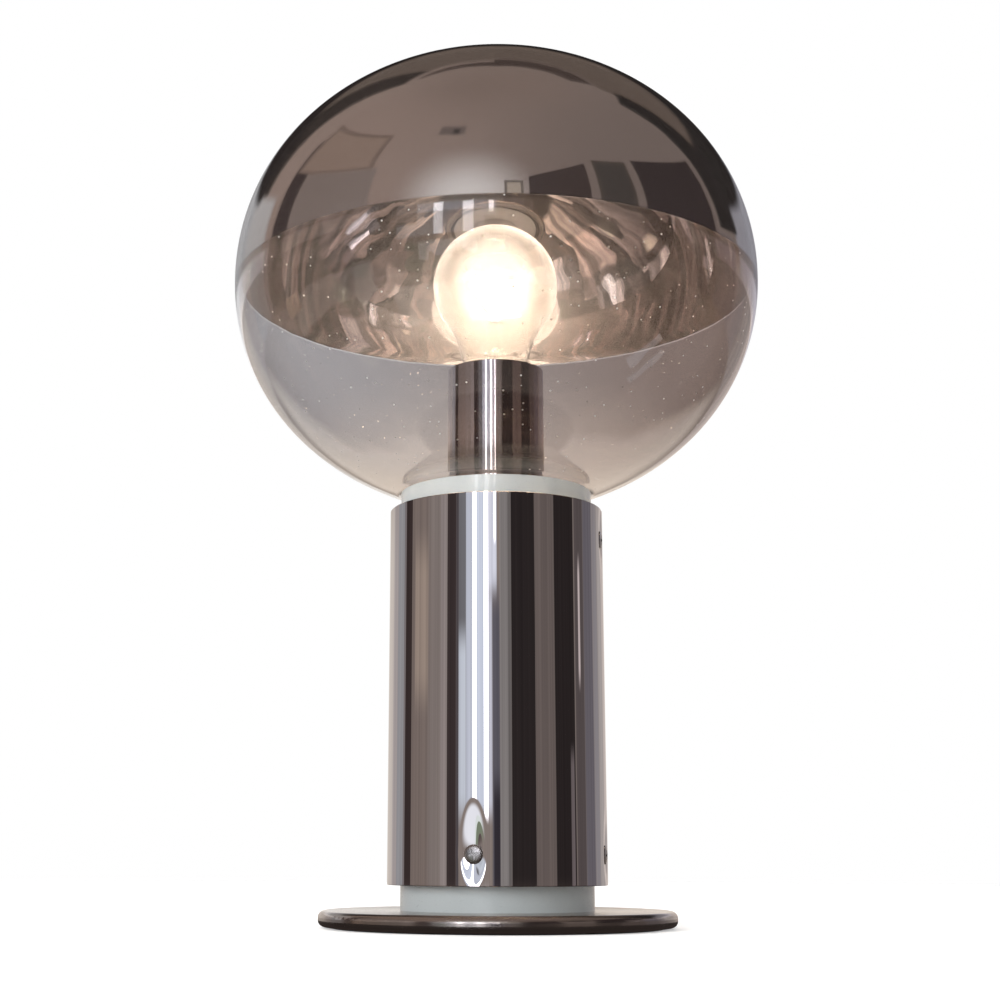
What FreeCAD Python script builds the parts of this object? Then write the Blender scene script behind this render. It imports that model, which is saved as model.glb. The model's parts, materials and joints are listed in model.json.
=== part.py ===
import FreeCAD, Part
import math
import os
import re

import Sketcher
from FreeCAD import Placement, Rotation, Vector

# Table lamp: an oblate glass globe with a silvered upper half stands on a chromed column over a round base.
# The origin is the middle of the footprint, +Z is up and -Y is the front. All sizes are in millimetres.
SIZES = {
    "pad_radius": (74, "pad under the base"),
    "pad_thickness": (1.6, "pad under the base"),
    "pad_proud": (0.6, "how far the pad stands out of its recess"),
    "pad_clearance": (0.3, "between the pad and the wall of its recess"),
    "disc_radius": (80, "base disc"),
    "disc_thickness": (7, "base disc"),
    "disc_edge": (2.9, "rounding of the base disc's edges"),
    "base_screw_circle": (33, "radius of the circle of screws in the disc"),
    "base_screw_radius": (2.5, "shank of a screw in the disc"),
    "base_screw_head": (5, "countersunk head's radius"),
    "base_screw_length": (10, "screw in the disc, head included"),
    "base_boss_radius": (5, "boss on the hub's floor round each screw"),
    "base_boss_height": (6, "boss on the hub's floor"),
    "hub_radius": (43.5, "white hub between the disc and the column"),
    "hub_wall": (4, "walls of the hub and of the collar's spigot"),
    "hub_floor": (2.4, "hub's floor"),
    "hub_showing": (11, "height of hub between the disc and the column"),
    "hub_spigot": (25, "length of hub inside the column"),
    "spigot_clearance": (0.3, "between a spigot and the column's bore"),
    "shoulder_drop": (1, "how far the shoulders lie inside the column"),
    "column_radius": (49.5, "column tube"),
    "column_wall": (1.5, "column tube"),
    "column_length": (170, "column tube"),
    "lower_screw_rise": (13.3, "from the column's lower rim to its screws"),
    "upper_screw_drop": (14.8, "from the column's upper rim to its screws"),
    "screw_turn": (-11.8, "turn of the front screw from the front, seen from above"),
    "screw_radius": (2, "shank of a screw in the column"),
    "screw_length": (8, "shank of a screw in the column"),
    "screw_head": (4.1, "head's radius"),
    "screw_head_rim": (0.4, "straight rim of the head"),
    "screw_dome": (0.75, "domed part of the head"),
    "screw_slot": (0.9, "width of the cross recess"),
    "screw_slot_depth": (0.65, "cross recess"),
    "seat_depth": (0.9, "flat in the column under each head"),
    "thread_clearance": (0.05, "round a shank in its thread"),
    "hole_clearance": (0.2, "round a shank in a plain hole"),
    "collar_radius": (44.5, "white collar under the globe"),
    "collar_wall": (1.8, "collar round the globe's neck"),
    "collar_showing": (8.8, "height of collar above the column"),
    "collar_chamfer": (1, "inner edge of the collar's rim"),
    "collar_floor": (3, "collar's floor"),
    "collar_spigot": (23, "length of collar inside the column"),
    "neck_depth": (6.1, "how far the globe's neck reaches into the collar"),
    "neck_wall": (2.4, "globe's neck"),
    "neck_clearance": (0.4, "between the neck and the collar"),
    "gasket_thickness": (1.4, "ring that the globe stands on"),
    "globe_seat_gap": (0.1, "between the neck's rim and the gasket"),
    "globe_radius": (125.2, "globe at its equator"),
    "globe_rise": (110.6, "globe above its equator"),
    "globe_fall": (109.2, "globe below its equator"),
    "globe_drop": (102.6, "from the globe's equator to the collar's rim"),
    "globe_wall": (2, "globe"),
    "film_thickness": (0.25, "silvered film inside the globe"),
    "film_gap": (0.1, "between the film and the glass"),
    "film_skirt": (2.4, "how far the film reaches below the equator"),
    "sleeve_radius": (22.7, "chromed sleeve round the lampholder"),
    "sleeve_wall": (1, "sleeve"),
    "sleeve_length": (67.6, "sleeve"),
    "nipple_radius": (5, "threaded tube that carries the lampholder"),
    "nipple_bore": (3.5, "radius of the threaded tube's bore"),
    "nipple_below": (9, "threaded tube below the collar's floor"),
    "nipple_inside": (5, "threaded tube inside the lampholder's cap"),
    "washer_radius": (9.5, "washers on the threaded tube"),
    "washer_thickness": (1, "washers on the threaded tube"),
    "nut_across_corners": (18.5, "nuts on the threaded tube"),
    "nut_thickness": (3.5, "nuts on the threaded tube"),
    "holder_radius": (19.4, "lampholder"),
    "holder_wall": (1.8, "lampholder's cap"),
    "holder_recess": (1, "from the sleeve's rim down to the lampholder"),
    "holder_cap_height": (14, "lampholder's cap"),
    "holder_cap_floor": (4, "lampholder's cap"),
    "holder_cap_slope": (5, "sloped shoulder of the lampholder's cap"),
    "insert_thickness": (6, "insulating plate in the lampholder"),
    "skirt_clearance": (0.1, "between the lampholder's skirt and its threaded shell"),
    "skirt_height": (34, "lampholder's skirt"),
    "mouth_radius": (17.4, "wide mouth of the skirt, round the bulb's neck"),
    "mouth_depth": (4.6, "wide mouth of the skirt"),
    "thread_crest": (13.05, "lampholder's thread at its crests"),
    "thread_depth": (0.85, "depth of both threads"),
    "thread_pitch": (3.63, "both threads"),
    "thread_metal": (0.4, "sheet of the threaded shell and cap"),
    "shell_drop": (0.2, "from the mouth's floor down to the threaded shell"),
    "tongue_width": (6, "centre contact of the lampholder"),
    "tongue_metal": (0.6, "centre contact of the lampholder"),
    "tongue_rise": (4, "centre contact's top above the insulating plate"),
    "post_spacing": (9.5, "from the axis to each terminal of the lampholder"),
    "post_radius": (2.6, "terminal of the lampholder"),
    "post_height": (7, "terminal of the lampholder"),
    "post_screw_radius": (1.25, "screw in each terminal"),
    "post_screw_head": (2.2, "screw in each terminal"),
    "post_screw_rim": (1.2, "height of that screw's head"),
    "post_screw_length": (3, "screw in each terminal"),
    "bulb_radius": (30, "bulb"),
    "bulb_neck_radius": (15, "bulb's glass where the cap begins"),
    "bulb_neck_drop": (47.6, "from the bulb's centre to the cap"),
    "bulb_wall": (0.8, "bulb's glass"),
    "bulb_cap_rise": (3.6, "from the end of the bulb's insulator to its threaded cap"),
    "bulb_cap_skirt": (22, "bulb's threaded cap"),
    "bulb_cap_gap": (0.1, "between the two threads, all round"),
    "bulb_tip_radius": (4.6, "bulb's end contact"),
    "bulb_tip_height": (0.9, "bulb's end contact"),
    "bulb_tip_gap": (0.15, "on each side of the bulb's end contact"),
    "bulb_glass_step": (0.5, "cap's rim above the end of the bulb's glass"),
    "stem_radius": (3.6, "glass stem in the bulb"),
    "stem_height": (29, "glass stem in the bulb"),
    "wire_radius": (0.35, "wires on the stem"),
    "wire_start": (2.2, "from the axis to each wire on the stem"),
    "wire_reach": (12, "from the axis to each wire's tip"),
    "wire_rise": (22, "height of the wires above the stem"),
    "wire_bend": (2.5, "radius of the bends of the wires"),
    "filament_radius": (0.5, "filament's coil"),
    "grommet_radius": (4.2, "cord's grommet in the hub"),
    "grommet_bore": (3.2, "radius of the cord's way through the grommet"),
    "grommet_flange": (5, "grommet's flange"),
    "grommet_flange_width": (1.4, "grommet's flange"),
    "grommet_rise": (5.7, "from the disc to the grommet's axis"),
    "block_length": (30, "terminal block, across its poles"),
    "block_depth": (16, "terminal block, along its poles"),
    "block_height": (13, "terminal block"),
    "block_front": (2, "from the axis back to the terminal block"),
    "pole_pitch": (9.5, "between the poles of the terminal block"),
    "pole_rise": (5.6, "from the hub's floor to the poles"),
    "pole_radius": (2.4, "brass pole in the block"),
    "pole_bore": (1.4, "radius of a pole's bore"),
    "pole_screw_radius": (1.5, "clamping screw of a pole"),
    "pole_screw_inset": (4, "from the block's faces to the clamping screws"),
    "mount_screw_radius": (1.5, "screws that hold the block to the hub"),
    "mount_screw_head": (2.3, "screws that hold the block to the hub"),
    "mount_screw_rim": (1.8, "height of those screws' heads"),
    "lead_radius": (1, "insulated lead"),
    "lead_bend": (8, "radius of the leads' bends in the column"),
    "lead_turn": (2.2, "radius of the leads' bends in the lampholder"),
    "lead_inset": (3, "how far each lead reaches into its pole"),
    "tag_x": (18, "earth tag from the axis, to the right"),
    "tag_y": (22, "earth tag from the axis, to the front"),
    "tag_radius": (4.5, "earth tag"),
    "tag_metal": (0.8, "earth tag"),
    "tag_barrel": (5, "length of the earth tag's barrel"),
    "tag_barrel_radius": (1.6, "earth tag's barrel"),
    "tag_rise": (3, "from the hub's floor to the barrel's axis"),
    "earth_screw_radius": (2, "screw of the earth tag"),
    "earth_screw_head": (3.5, "screw of the earth tag"),
    "earth_screw_rim": (2.2, "height of that screw's head"),
}
TUBE_SCREWS_LOW = 4
TUBE_SCREWS_HIGH = 2
BASE_SCREWS = 4
POLES = 3
THREAD_TURNS = 5

# Levels above the surface that the lamp stands on, each worked out from the sizes.
RECESS_TOP = "pad_thickness"
DISC_TOP = "(pad_proud + disc_thickness)"
HUB_FLOOR_TOP = f"({DISC_TOP} + hub_floor)"
COLUMN_LOW = f"({DISC_TOP} + hub_showing)"
COLUMN_TOP = f"({COLUMN_LOW} + column_length)"
HUB_SHOULDER = f"({COLUMN_LOW} + shoulder_drop)"
HUB_TOP = f"({HUB_SHOULDER} + hub_spigot)"
LOWER_SCREWS = f"({COLUMN_LOW} + lower_screw_rise)"
UPPER_SCREWS = f"({COLUMN_TOP} - upper_screw_drop)"
COLLAR_TOP = f"({COLUMN_TOP} + collar_showing)"
COLLAR_SHOULDER = f"({COLUMN_TOP} - shoulder_drop)"
COLLAR_LOW = f"({COLLAR_SHOULDER} - collar_spigot)"
NECK_LOW = f"({COLLAR_TOP} - neck_depth)"
GASKET_LOW = f"({NECK_LOW} - globe_seat_gap - gasket_thickness)"
COLLAR_FLOOR_LOW = f"({GASKET_LOW} - collar_floor)"
EQUATOR = f"({COLLAR_TOP} + globe_drop)"
FILM_LOW = f"({EQUATOR} - film_skirt)"
SLEEVE_TOP = f"({GASKET_LOW} + sleeve_length)"
HOLDER_TOP = f"({SLEEVE_TOP} - holder_recess)"
INSERT_TOP = f"({HOLDER_TOP} - skirt_height)"
MOUTH_LOW = f"({HOLDER_TOP} - mouth_depth)"
SHELL_TOP = f"({MOUTH_LOW} - shell_drop)"
INSERT_LOW = f"({INSERT_TOP} - insert_thickness)"
HOLDER_LOW = f"({INSERT_LOW} - holder_cap_height)"
HOLDER_FLOOR_TOP = f"({HOLDER_LOW} + holder_cap_floor)"
NIPPLE_LOW = f"({COLLAR_FLOOR_LOW} - nipple_below)"
NIPPLE_TOP = f"({HOLDER_FLOOR_TOP} + nipple_inside - holder_cap_floor)"
TONGUE_TOP = f"({INSERT_TOP} + tongue_rise)"
TIP_LOW = f"({TONGUE_TOP} + bulb_tip_gap)"
TIP_TOP = f"({TIP_LOW} + bulb_tip_height)"
INSULATOR_LOW = f"({TIP_TOP} + bulb_tip_gap)"
CAP_LOW = f"({INSULATOR_LOW} + bulb_cap_rise)"
CAP_TOP = f"({CAP_LOW} + bulb_cap_skirt)"
BULB_CENTRE = f"({CAP_TOP} + bulb_neck_drop)"
POST_LOW = f"({INSERT_LOW} - post_height)"
POLE_LEVEL = f"({HUB_FLOOR_TOP} + pole_rise)"
GROMMET_LEVEL = f"({DISC_TOP} + grommet_rise)"

# Radii worked out from the sizes.
COLUMN_BORE = "(column_radius - column_wall)"
SPIGOT_RADIUS = f"({COLUMN_BORE} - spigot_clearance)"
SPIGOT_BORE = f"({SPIGOT_RADIUS} - hub_wall)"
HUB_BORE = "(hub_radius - hub_wall)"
SCREW_HOLE_START = f"({SPIGOT_BORE} - hub_wall)"
SEAT_RADIUS = "(column_radius - seat_depth)"
COLLAR_BORE = "(collar_radius - collar_wall)"
NECK_RADIUS = f"({COLLAR_BORE} - neck_clearance)"
NECK_BORE = f"({NECK_RADIUS} - neck_wall)"
NIPPLE_HOLE = "(nipple_radius + hole_clearance)"
NIPPLE_THREAD = "(nipple_radius + thread_clearance)"
SHELL_ROOT = "(thread_crest + thread_depth)"
SHELL_RADIUS = f"({SHELL_ROOT} + thread_metal)"
CAP_CREST = "(thread_crest - bulb_cap_gap)"
CAP_ROOT = f"({CAP_CREST} - thread_depth)"

doc = FreeCAD.newDocument("globe_lamp")
sheet = doc.addObject("Spreadsheet::Sheet", "Sizes")
for row, (alias, (size, meaning)) in enumerate(SIZES.items(), start=1):
    sheet.set(f"A{row}", meaning)
    sheet.set(f"B{row}", str(size))
    sheet.setAlias(f"B{row}", alias)
doc.recompute()


def formula(text):
    """A sum of sizes, with each name pointed at its cell in the sheet."""
    return re.sub(r"[a-z]\w*", lambda word: ("Sizes." if word[0] in SIZES else "") + word[0], text)


def value(text):
    """What a sum of sizes comes to."""
    return float(sheet.evalExpression(formula(text)))


def add(kind, label):
    thing = doc.addObject(kind, label)
    thing.Label = label
    return thing


def bind(thing, sizes):
    """Ties properties of an object to sums of sizes."""
    for name, text in sizes.items():
        thing.setExpression(name, formula(text))


def place(thing, x="", y="", z=""):
    """Ties an object's place to sums of sizes."""
    bind(thing, {f"Placement.Base.{axis}": text for axis, text in zip("xyz", (x, y, z)) if text})


def cylinder(label, radius, height, x="", y="", z=""):
    thing = add("Part::Cylinder", label)
    bind(thing, {"Radius": radius, "Height": height})
    place(thing, x, y, z)
    return thing


def radial_cylinder(label, radius, height, start, level, angle):
    """A cylinder along the radius, at an angle in degrees from +X, its inner end `start` from the axis."""
    thing = cylinder(label, radius, height)
    outward = Rotation(Vector(0, 0, 1), angle).multVec(Vector(1, 0, 0))
    thing.Placement = Placement(outward * value(start) + Vector(0, 0, value(level)),
                                Rotation(Vector(0, 0, 1), outward))
    return thing


def cone(label, low_radius, high_radius, height, x="", y="", z=""):
    thing = add("Part::Cone", label)
    bind(thing, {"Radius1": low_radius, "Radius2": high_radius, "Height": height})
    place(thing, x, y, z)
    return thing


def box(label, length, width, height, x="", y="", z=""):
    thing = add("Part::Box", label)
    bind(thing, {"Length": length, "Width": width, "Height": height})
    place(thing, x, y, z)
    return thing


def half_ellipsoid(label, radius, height, z, upper=True):
    """The upper or lower half of an ellipsoid of revolution about +Z."""
    thing = add("Part::Ellipsoid", label)
    bind(thing, {"Radius1": height, "Radius2": radius, "Radius3": radius})
    thing.Angle1, thing.Angle2 = (0, 90) if upper else (-90, 0)
    place(thing, z=z)
    return thing


def fuse(label, things):
    thing = add("Part::MultiFuse", label)
    thing.Shapes = things
    return thing


def cut(label, base, tools):
    thing = add("Part::Cut", label)
    thing.Base = base
    thing.Tool = tools[0] if len(tools) == 1 else fuse(label + "_cutter", tools)
    return thing


def common(label, base, tool):
    thing = add("Part::Common", label)
    thing.Base, thing.Tool = base, tool
    return thing


def plane(body, role):
    return next(thing for thing in body.Origin.OriginFeatures if thing.Role == role)


def turned(label, outline):
    """A body turned about +Z from a closed outline of (radius, level) corners, each tied to the sheet."""
    body = add("PartDesign::Body", label)
    sketch = body.newObject("Sketcher::SketchObject", label + "_outline")
    sketch.AttachmentSupport = [(plane(body, "XZ_Plane"), "")]
    sketch.MapMode = "FlatFace"
    corners = [Vector(value(radius), value(level), 0) for radius, level in outline]
    for start, end in zip(corners, corners[1:] + corners[:1]):
        sketch.addGeometry(Part.LineSegment(start, end))
    for i, (radius, level) in enumerate(outline):
        sketch.addConstraint(Sketcher.Constraint("Coincident", i - 1 if i else len(outline) - 1, 2, i, 1))
        if radius == "0":
            sketch.addConstraint(Sketcher.Constraint("PointOnObject", i, 1, -2))
        else:
            at = sketch.addConstraint(Sketcher.Constraint("DistanceX", -1, 1, i, 1, corners[i].x))
            sketch.setExpression(f"Constraints[{at}]", formula(radius))
        at = sketch.addConstraint(Sketcher.Constraint("DistanceY", -1, 1, i, 1, corners[i].y))
        sketch.setExpression(f"Constraints[{at}]", formula(level))
    turn = body.newObject("PartDesign::Revolution", label + "_turn")
    turn.Profile = sketch
    turn.ReferenceAxis = (sketch, ["V_Axis"])
    turn.Angle = 360
    body.Tip = turn
    return body


def round_rims(body, size, radius):
    """Rounds the rims of a turned body that have one radius."""
    doc.recompute()
    blank = body.Tip
    rims = [f"Edge{i}" for i, edge in enumerate(blank.Shape.Edges, start=1)
            if isinstance(edge.Curve, Part.Circle) and abs(edge.Curve.Radius - value(radius)) < 0.01]
    rounding = body.newObject("PartDesign::Fillet", body.Label + "_rounding")
    rounding.Base = (blank, rims)
    bind(rounding, {"Radius": size})
    body.Tip = rounding
    return body


def solid(label, shape):
    """An object whose shape is worked out here from the sheet's sizes."""
    thing = add("Part::Feature", label)
    thing.Shape = shape
    thing.Placement = Placement()
    return thing


def ring_of(label, pattern, placements):
    """Separate copies of one pattern piece, which stands on the origin."""
    doc.recompute()
    return solid(label, Part.makeCompound([pattern.Shape.transformed(at.toMatrix()) for at in placements]))


def upright(levels):
    """Places on the axis at the given levels."""
    return [Placement(Vector(0, 0, value(level)), Rotation()) for level in levels]


def round_angles(count, first):
    return [first + 360 / count * i for i in range(count)]


def tube_screw_angles(count):
    """Directions of the column's screws from +X; with two, they are the ones at the sides."""
    front = -90 + value("screw_turn")
    return round_angles(count, front if count == TUBE_SCREWS_LOW else front + 90)


def radial_placements(count, radius, level):
    """Places in which a piece that stands on the origin points out along the radius."""
    places = []
    for angle in tube_screw_angles(count):
        outward = Rotation(Vector(0, 0, 1), angle).multVec(Vector(1, 0, 0))
        places.append(Placement(outward * value(radius) + Vector(0, 0, value(level)),
                                Rotation(Vector(0, 0, 1), outward)))
    return places


def tube_screw_holes(label, radius, start, count, level):
    return [radial_cylinder(f"{label}_{i}", radius, "column_radius", start, level, angle)
            for i, angle in enumerate(tube_screw_angles(count))]


def bent_tube(label, corners, bends, radius):
    """A round tube along straight runs, with an arc of the given radius at each inner corner."""
    edges, start = [], corners[0]
    for i, bend in enumerate(bends, start=1):
        before = (corners[i] - corners[i - 1]).normalize()
        after = (corners[i + 1] - corners[i]).normalize()
        half = before.getAngle(after) / 2
        reach = bend * math.tan(half)
        inward = (after - before).normalize()
        arc_start, arc_end = corners[i] - before * reach, corners[i] + after * reach
        middle = corners[i] + inward * (bend / math.cos(half) - bend)
        edges.append(Part.LineSegment(start, arc_start).toShape())
        edges.append(Part.Arc(arc_start, middle, arc_end).toShape())
        start = arc_end
    edges.append(Part.LineSegment(start, corners[-1]).toShape())
    path = Part.Wire(edges)
    rim = Part.Wire(Part.Circle(corners[0], corners[1] - corners[0], radius).toShape())
    tube = path.makePipeShell([rim], True, False)
    share = tube.Volume / (math.pi * radius ** 2 * path.Length)
    print(f"{label}: {path.Length:.1f} mm long, bends {bends}, volume {share:.4f} of expected")
    return tube


def thread_outline(root, crest, low):
    """Corners of a row of rounded-off rings that stands for a thread, from `low` upwards."""
    corners = []
    for i in range(THREAD_TURNS):
        for share, radius in ((0, root), (0.35, crest), (0.65, crest)):
            corners.append((radius, f"({low} + thread_pitch * {i + share})"))
    corners.append((root, f"({low} + thread_pitch * {THREAD_TURNS})"))
    return corners


# Base ------------------------------------------------------------------

def base_disc():
    blank = turned("base_disc_blank", [
        ("0", RECESS_TOP),
        ("(pad_radius + pad_clearance)", RECESS_TOP),
        ("(pad_radius + pad_clearance)", "pad_proud"),
        ("disc_radius", "pad_proud"),
        ("disc_radius", DISC_TOP),
        ("0", DISC_TOP),
    ])
    round_rims(blank, "disc_edge", "disc_radius")
    holes = []
    for i, angle in enumerate(round_angles(BASE_SCREWS, 0)):
        x, y = f"base_screw_circle * cos({angle})", f"base_screw_circle * sin({angle})"
        holes.append(cylinder(f"disc_hole_{i}", "base_screw_radius + hole_clearance", DISC_TOP, x, y,
                              RECESS_TOP))
        holes.append(cone(f"disc_countersink_{i}", "base_screw_head + hole_clearance",
                          "base_screw_radius + hole_clearance", "base_screw_head - base_screw_radius", x, y,
                          RECESS_TOP))
    return cut("base_disc", blank, holes)


def base_pad():
    return cylinder("base_pad", "pad_radius", "pad_thickness")


def base_screws():
    shank = cylinder("base_screw_shank", "base_screw_radius", "base_screw_length")
    head = cone("base_screw_cone", "base_screw_head", "base_screw_radius",
                "base_screw_head - base_screw_radius")
    slots = cross_recess("base_screw")
    pattern = cut("base_screw_pattern", fuse("base_screw_blank", [shank, head]), slots)
    first = Vector(value("base_screw_circle"), 0, value(RECESS_TOP))
    turns = [Rotation(Vector(0, 0, 1), angle) for angle in round_angles(BASE_SCREWS, 0)]
    return ring_of("base_screws", pattern, [Placement(turn.multVec(first), Rotation()) for turn in turns])


def cross_recess(label, z=""):
    """The two crossed slots that a screwdriver enters, from z upwards."""
    half_length, half_width = "screw_head * 0.55", "screw_slot / 2"
    slots = []
    for name, across, along in (("a", half_length, half_width), ("b", half_width, half_length)):
        slots.append(box(f"{label}_slot_{name}", f"2 * {across}", f"2 * {along}", "screw_slot_depth",
                         f"-({across})", f"-({along})", z))
    return slots


def base_hub():
    blank = turned("base_hub_blank", [
        ("0", DISC_TOP),
        ("hub_radius", DISC_TOP),
        ("hub_radius", HUB_SHOULDER),
        (SPIGOT_RADIUS, HUB_SHOULDER),
        (SPIGOT_RADIUS, HUB_TOP),
        (SPIGOT_BORE, HUB_TOP),
        (SPIGOT_BORE, f"({HUB_SHOULDER} + hub_wall)"),
        (HUB_BORE, f"({HUB_SHOULDER} + hub_wall)"),
        (HUB_BORE, HUB_FLOOR_TOP),
        ("0", HUB_FLOOR_TOP),
    ])
    bosses, holes = [], []
    for i, angle in enumerate(round_angles(BASE_SCREWS, 0)):
        x, y = f"base_screw_circle * cos({angle})", f"base_screw_circle * sin({angle})"
        bosses.append(cylinder(f"hub_boss_{i}", "base_boss_radius", "hub_floor + base_boss_height", x, y,
                               DISC_TOP))
        holes.append(cylinder(f"hub_hole_{i}", "base_screw_radius + thread_clearance",
                              "hub_floor + base_boss_height + 1", x, y, DISC_TOP))
    holes.append(cylinder("hub_earth_hole", "earth_screw_radius + thread_clearance", "hub_floor", "tag_x",
                          "-tag_y", DISC_TOP))
    holes += [cylinder(f"hub_block_hole_{i}", "mount_screw_radius + thread_clearance", "hub_floor", x,
                       BLOCK_MIDDLE, DISC_TOP) for i, x in enumerate(MOUNT_SCREWS)]
    holes.append(radial_cylinder("hub_cord_hole", "grommet_radius + thread_clearance", "hub_wall + 2",
                                 GROMMET_INNER, GROMMET_LEVEL, REAR))
    holes += tube_screw_holes("hub_screw_hole", "screw_radius + thread_clearance", SCREW_HOLE_START,
                              TUBE_SCREWS_LOW, LOWER_SCREWS)
    return cut("base_hub", fuse("base_hub_casting", [blank] + bosses), holes)


REAR = 90
GROMMET_INNER = f"sqrt({HUB_BORE} ^ 2 - (grommet_radius + thread_clearance) ^ 2)"
BLOCK_MIDDLE = "(block_front + block_depth / 2)"
MOUNT_SCREWS = ("-pole_pitch / 2", "pole_pitch / 2")


def cord_grommet():
    length = f"hub_radius + grommet_flange_width - {GROMMET_INNER}"
    outer = radial_cylinder("grommet_body", "grommet_radius", length, GROMMET_INNER, GROMMET_LEVEL, REAR)
    flange = radial_cylinder("grommet_rim", "grommet_flange", "grommet_flange_width", "hub_radius",
                             GROMMET_LEVEL, REAR)
    bore = radial_cylinder("grommet_hole", "grommet_bore", "hub_radius", "hub_radius / 2", GROMMET_LEVEL,
                           REAR)
    return cut("cord_grommet", fuse("grommet_blank", [outer, flange]), [bore])


# Column ----------------------------------------------------------------

def column_tube():
    blank = turned("column_blank", [
        (COLUMN_BORE, COLUMN_LOW),
        ("column_radius", COLUMN_LOW),
        ("column_radius", COLUMN_TOP),
        (COLUMN_BORE, COLUMN_TOP),
    ])
    holes = []
    rows = (("low", TUBE_SCREWS_LOW, LOWER_SCREWS), ("high", TUBE_SCREWS_HIGH, UPPER_SCREWS))
    for row, count, level in rows:
        for name, radius, start in (("hole", "screw_radius", SCREW_HOLE_START),
                                    ("seat", "screw_head", SEAT_RADIUS)):
            holes += tube_screw_holes(f"column_{name}_{row}", f"{radius} + hole_clearance", start, count,
                                      level)
    return cut("column_tube", blank, holes)


def column_screw():
    """The pattern of the column's screws, standing on its seat: a domed head with a cross recess."""
    if doc.getObject("column_screw_pattern"):
        return doc.getObject("column_screw_pattern")
    shank = cylinder("column_screw_shank", "screw_radius", "screw_length", z="-screw_length")
    rim = cylinder("column_screw_rim", "screw_head", "screw_head_rim")
    dome = half_ellipsoid("column_screw_dome", "screw_head", "screw_dome", "screw_head_rim")
    slots = cross_recess("column_screw", "screw_head_rim + screw_dome - screw_slot_depth")
    return cut("column_screw_pattern", fuse("column_screw_blank", [shank, rim, dome]), slots)


def lower_column_screws():
    return ring_of("lower_column_screws", column_screw(),
                   radial_placements(TUBE_SCREWS_LOW, SEAT_RADIUS, LOWER_SCREWS))


def upper_column_screws():
    return ring_of("upper_column_screws", column_screw(),
                   radial_placements(TUBE_SCREWS_HIGH, SEAT_RADIUS, UPPER_SCREWS))


def upper_collar():
    blank = turned("upper_collar_blank", [
        (NIPPLE_HOLE, COLLAR_FLOOR_LOW),
        (SPIGOT_BORE, COLLAR_FLOOR_LOW),
        (SPIGOT_BORE, COLLAR_LOW),
        (SPIGOT_RADIUS, COLLAR_LOW),
        (SPIGOT_RADIUS, COLLAR_SHOULDER),
        ("collar_radius", COLLAR_SHOULDER),
        ("collar_radius", COLLAR_TOP),
        (f"({COLLAR_BORE} + collar_chamfer)", COLLAR_TOP),
        (COLLAR_BORE, f"({COLLAR_TOP} - collar_chamfer)"),
        (COLLAR_BORE, GASKET_LOW),
        (NIPPLE_HOLE, GASKET_LOW),
    ])
    holes = tube_screw_holes("collar_screw_hole", "screw_radius + thread_clearance", SCREW_HOLE_START,
                             TUBE_SCREWS_HIGH, UPPER_SCREWS)
    return cut("upper_collar", blank, holes)


def globe_gasket():
    return turned("globe_gasket", [
        (f"({NECK_BORE} - neck_clearance)", GASKET_LOW),
        (f"({COLLAR_BORE} - thread_clearance)", GASKET_LOW),
        (f"({COLLAR_BORE} - thread_clearance)", f"({GASKET_LOW} + gasket_thickness)"),
        (f"({NECK_BORE} - neck_clearance)", f"({GASKET_LOW} + gasket_thickness)"),
    ])


# Globe -----------------------------------------------------------------

def globe_shape(label, inset):
    """The globe's outline as a solid, `inset` inside its outer face."""
    radius = f"globe_radius - {inset}"
    upper = half_ellipsoid(label + "_upper", radius, f"globe_rise - {inset}", EQUATOR)
    lower = half_ellipsoid(label + "_lower", radius, f"globe_fall - {inset}", EQUATOR, upper=False)
    return [upper, lower]


def globe_glass():
    neck = cylinder("globe_neck", NECK_RADIUS, "neck_depth + globe_wall", z=NECK_LOW)
    bore = cylinder("globe_neck_bore", NECK_BORE, f"{EQUATOR} - {COLLAR_FLOOR_LOW}", z=COLLAR_FLOOR_LOW)
    outer = fuse("globe_outer", globe_shape("globe_outer", "0") + [neck])
    inner = fuse("globe_inner", globe_shape("globe_inner", "globe_wall") + [bore])
    return cut("globe_glass", outer, [inner])


def mirror_film():
    outer = fuse("film_outer", globe_shape("film_outer", "(globe_wall + film_gap)"))
    inner = fuse("film_inner", globe_shape("film_inner", "(globe_wall + film_gap + film_thickness)"))
    above = cylinder("film_span", "globe_radius", "film_skirt + globe_rise", z=FILM_LOW)
    return common("mirror_film", cut("film_shell", outer, [inner]), above)


# Lampholder ------------------------------------------------------------

def socket_sleeve():
    return turned("socket_sleeve", [
        (NIPPLE_HOLE, GASKET_LOW),
        ("sleeve_radius", GASKET_LOW),
        ("sleeve_radius", SLEEVE_TOP),
        ("(sleeve_radius - sleeve_wall)", SLEEVE_TOP),
        ("(sleeve_radius - sleeve_wall)", f"({GASKET_LOW} + sleeve_wall)"),
        (NIPPLE_HOLE, f"({GASKET_LOW} + sleeve_wall)"),
    ])


def threaded_nipple():
    outer = cylinder("nipple_body", "nipple_radius", f"{NIPPLE_TOP} - {NIPPLE_LOW}", z=NIPPLE_LOW)
    bore = cylinder("nipple_hole", "nipple_bore", f"{NIPPLE_TOP} - {NIPPLE_LOW}", z=NIPPLE_LOW)
    return cut("threaded_nipple", outer, [bore])


WASHER_LEVELS = (f"({COLLAR_FLOOR_LOW} - washer_thickness)", f"({GASKET_LOW} + sleeve_wall)")
NUT_LEVELS = (f"({WASHER_LEVELS[0]} - nut_thickness)", f"({WASHER_LEVELS[1]} + washer_thickness)")


def nipple_washers():
    outer = cylinder("washer_body", "washer_radius", "washer_thickness")
    pattern = cut("washer_pattern", outer, [cylinder("washer_hole", NIPPLE_HOLE, "washer_thickness")])
    return ring_of("nipple_washers", pattern, upright(WASHER_LEVELS))


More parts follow.
